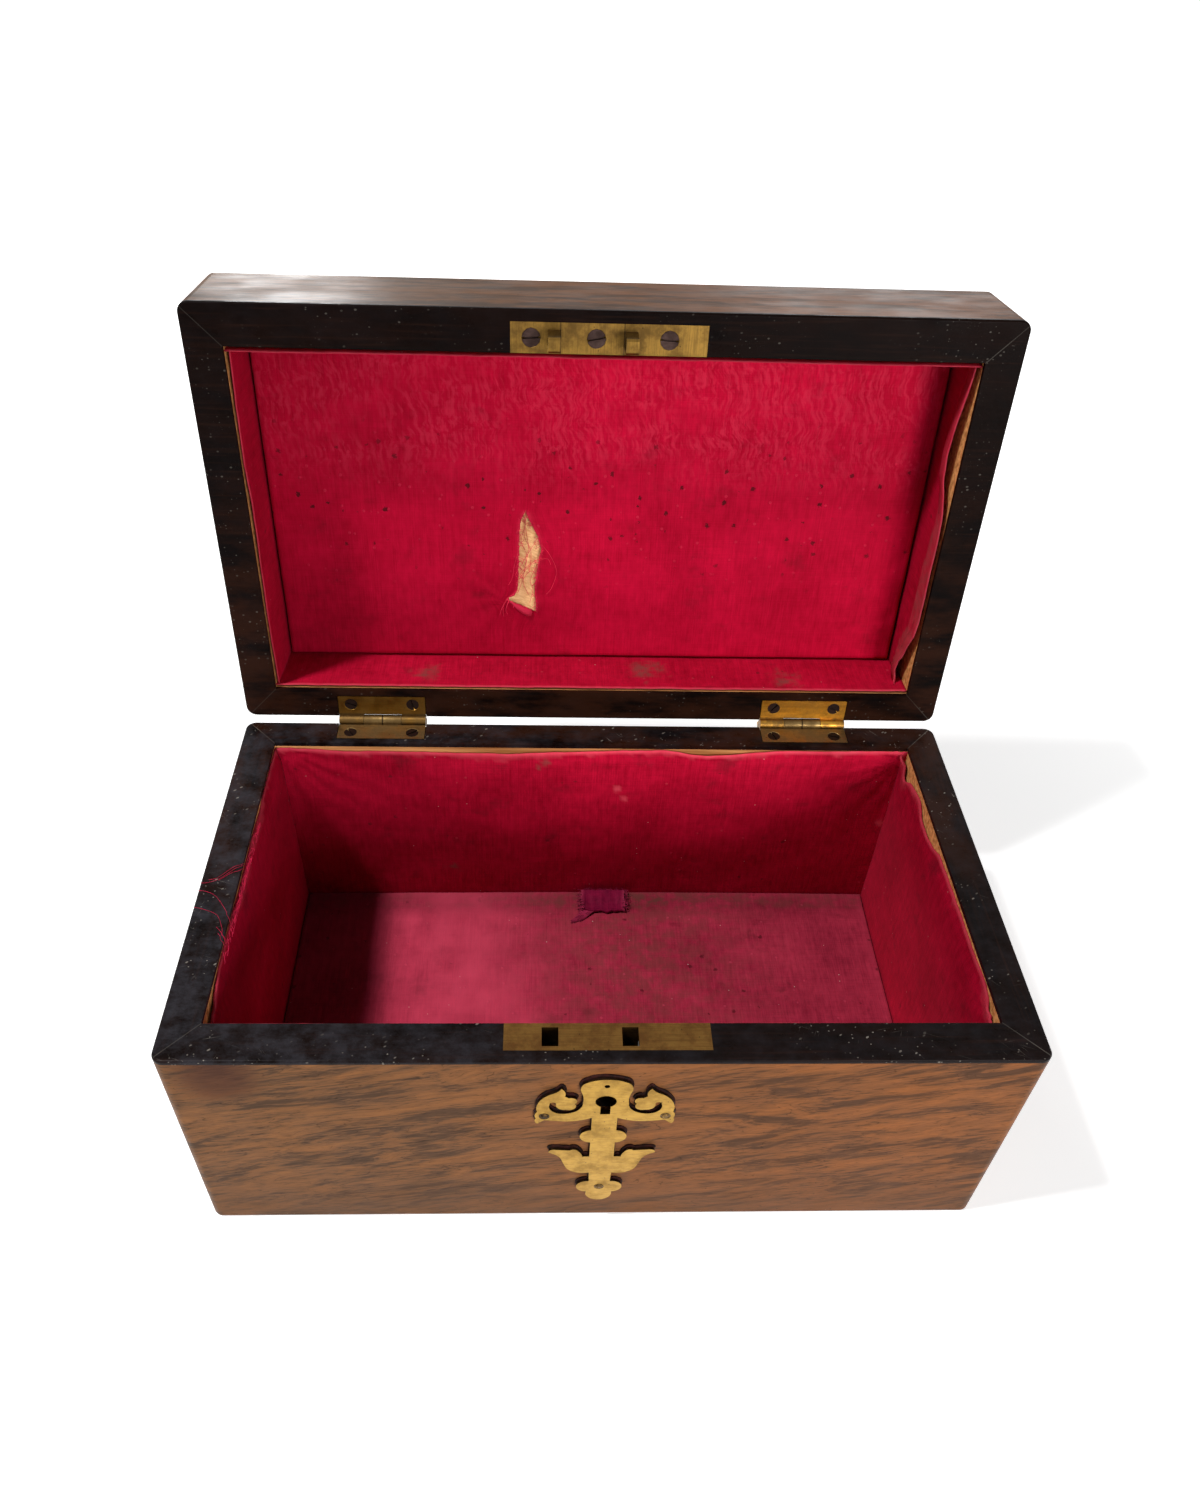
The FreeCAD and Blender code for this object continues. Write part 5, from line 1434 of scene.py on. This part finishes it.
stand, given = node_tree("heads_on_points", [("Head", "NodeSocketObject"), ("Finish", "NodeSocketMaterial")])
facing, turn, radius = (
    stand.add("GeometryNodeInputNamedAttribute", {"Name": label}, data_type=kind).outputs[0]
    for label, kind in (("facing", "FLOAT_VECTOR"), ("turn", "FLOAT"), ("radius", "FLOAT")))
aligned = stand.add("FunctionNodeAlignRotationToVector", {"Vector": facing}, axis="Z").outputs[0]
spin = stand.add("FunctionNodeAxisAngleToRotation", {"Axis": (0, 0, 1), "Angle": turn}).outputs[0]
turned = stand.add("FunctionNodeRotateRotation", {0: aligned, 1: spin}, rotation_space="LOCAL").outputs[0]
model = stand.add("GeometryNodeObjectInfo", {"Object": given["Head"]}).outputs["Geometry"]
copies = stand.add("GeometryNodeInstanceOnPoints", {
    "Points": given["Geometry"], "Instance": model, "Rotation": turned, "Scale": radius})
head_tree = coated(stand, copies.outputs[0], given["Finish"])


def fastener_places(node, direction):
    """The middle of each CAD fastener's head in a node, which lies furthest along the direction."""
    edit = bmesh.new()
    edit.from_mesh(nodes[node].data)
    bmesh.ops.remove_doubles(edit, verts=edit.verts, dist=1e-6)
    left = set(edit.verts)
    places = []
    while left:
        group, front = [], [left.pop()]
        while front:
            vert = front.pop()
            group.append(vert.co.copy())
            linked = {link.other_vert(vert) for link in vert.link_edges} & left
            left -= linked
            front += linked
        reach = max(place.dot(direction) for place in group)
        head = [place for place in group if place.dot(direction) > reach - 1e-5]
        places.append(sum(head, Vector()) / len(head))
    edit.free()
    return sorted(places, key=lambda place: (place.x, place.z))


def heads(node, model_object, direction, radius, sink, turns, finish, body):
    """Heads that stand for a node of CAD fasteners, set a little below or above its faces."""
    places = [place - direction * sink for place in fastener_places(node, direction)]
    mesh = bpy.data.meshes.new(node + "_heads")
    mesh.from_pydata(places, [], [])
    facing = mesh.attributes.new("facing", "FLOAT_VECTOR", "POINT")
    facing.data.foreach_set("vector", list(direction) * len(places))
    paint(mesh, "turn", [math.radians(t) for t in turns])
    paint(mesh, "radius", [radius] * len(places))
    piece = put(node + "_heads", mesh)
    baked(piece, head_tree, {"Head": model_object, "Finish": finish})
    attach(piece, body)
    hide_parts(node)
    print(piece.name, len(places), "at", [round(c / MM, 1) for c in places[0]])


screw_model, pin_model = screw_head(), pin_head()
up, out = Vector((0, 0, 1)), Vector((0, -1, 0))
lid_out = (LID_SWING.to_3x3() @ Vector((0, 0, -1))).normalized()
for node, direction, radius, turns, body in (
    ("box_hinge_screws", up, 2.34, (35, -60, 20, 75), "case"),
    ("lid_hinge_screws", lid_out, 2.34, (70, 15, -40, 50), "lid"),
    ("link_plate_screws", lid_out, 2.88, (93, 102, 86), "lid"),
):
    heads(node, screw_model, direction, radius * MM, 0.05 * MM, turns, screw_iron, body)
heads("escutcheon_pins", pin_model, out, 1.58 * MM, -0.06 * MM, (10, 80, 150), pin_brass,
      "case")
for used in (screw_model, pin_model):
    bpy.data.objects.remove(used)

# %% [markdown]
# ## Old polish round the escutcheon
# Every polishing has pushed some wax and dirt against the escutcheon's edge, where no cloth reaches.
# It has dried there as a dark reddish bank. The bank follows the outline of the CAD plate: the
# edges round its back face are chained into a loop, and a low wedge is swept along it.

# %% Old polish round the escutcheon
BANK_RISE = 0.85 * MM
BANK_STEP = 0.45 * MM
BANK_TUCK = -0.05 * MM
BANK_FOOT = 0.03 * MM
WAX_DARK, WAX_RED = (0.005, 0.0028, 0.0022), (0.032, 0.008, 0.006)
face_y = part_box("escutcheon")[1].y


def plate_outline():
    """The outer outline of the escutcheon's back face, as even steps in X and Z."""
    edit = bmesh.new()
    edit.from_mesh(nodes["escutcheon"].data)
    bmesh.ops.remove_doubles(edit, verts=edit.verts, dist=1e-6)
    lying = [face for face in edit.faces if all(abs(vert.co.y - face_y) < 1e-5 for vert in face.verts)]
    inner = set(lying)
    rim = [edge for face in lying for edge in face.edges if sum(f in inner for f in edge.link_faces) == 1]
    follow = {}
    for edge in rim:
        for vert in edge.verts:
            follow.setdefault(vert, []).append(edge.other_vert(vert))
    loops = []
    while follow:
        start = next(iter(follow))
        loop, here, before = [start], follow[start][0], start
        while here is not start:
            loop.append(here)
            here, before = next(v for v in follow[here] if v is not before), here
        for vert in loop:
            del follow[vert]
        loops.append(np.array([(vert.co.x, vert.co.z) for vert in loop]))
    edit.free()
    loop = max(loops, key=lambda places: np.ptp(places[:, 1]))
    closed = np.vstack((loop, loop[:1]))
    along = np.concatenate(([0], np.cumsum(np.hypot(*np.diff(closed, axis=0).T))))
    steps = np.arange(0, along[-1], BANK_STEP)
    return np.column_stack([np.interp(steps, along, closed[:, k]) for k in (0, 1)])


outline = plate_outline()
tangent = np.roll(outline, -2, axis=0) - np.roll(outline, 2, axis=0)
tangent /= np.hypot(*tangent.T)[:, None]
area = 0.5 * np.sum(outline[:, 0] * np.roll(outline[:, 1], -1) - np.roll(outline[:, 0], -1) * outline[:, 1])
outward = np.column_stack((tangent[:, 1], -tangent[:, 0])) * (1 if area > 0 else -1)
points, faces = [], []
for place, normal in zip(outline, outward):
    unevenness = swell(place[0], place[1], 0.006, 51)
    above = 0.5 + 0.5 * normal[1]
    spread = (0.16 + (0.80 + 0.35 * unevenness) * above ** 2) * MM
    rise = BANK_RISE * (0.25 + 0.55 * above + 0.30 * swell(place[0], place[1], 0.003, 57))
    low_part = ((spread, BANK_FOOT), (BANK_TUCK, BANK_FOOT))
    for offset, height in ((BANK_TUCK, rise), (spread * 0.45, rise * 0.55), *low_part):
        points.append((place[0] + normal[0] * offset, face_y - height, place[1] + normal[1] * offset))
count = len(outline)
for k in range(count):
    for side in range(4):
        a, b = k * 4 + side, k * 4 + (side + 1) % 4
        c, d = (k + 1) % count * 4 + (side + 1) % 4, (k + 1) % count * 4 + side
        faces.append((a, b, c, d))
bank_mesh = bpy.data.meshes.new("polish_bank")
bank_mesh.from_pydata(points, [], faces)
edit = bmesh.new()
edit.from_mesh(bank_mesh)
bmesh.ops.recalc_face_normals(edit, faces=edit.faces)
edit.to_mesh(bank_mesh)
edit.free()
shade_smooth(bank_mesh)
wax = Finish("old_polish", Roughness=0.5, Specular_IOR_Level=0.05)
wax_lumps = wax.noise(wax.place((0.0016,)), 4.0)
bank_mesh.materials.append(wax.finish(
    Base_Color=wax.ramp(wax_lumps, [(0.35, WAX_DARK), (0.66, WAX_RED)]),
    Normal=wax.bump(wax_lumps, 0.5, 0.0004)))
polish_bank = put("polish_bank", bank_mesh)
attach(polish_bank, "case")
print("polish bank", round(count * BANK_STEP / MM), "mm round the plate")

# %% [markdown]
# ## The end
# The silk, the threads and the old polish may stand a little proud of the CAD pieces.
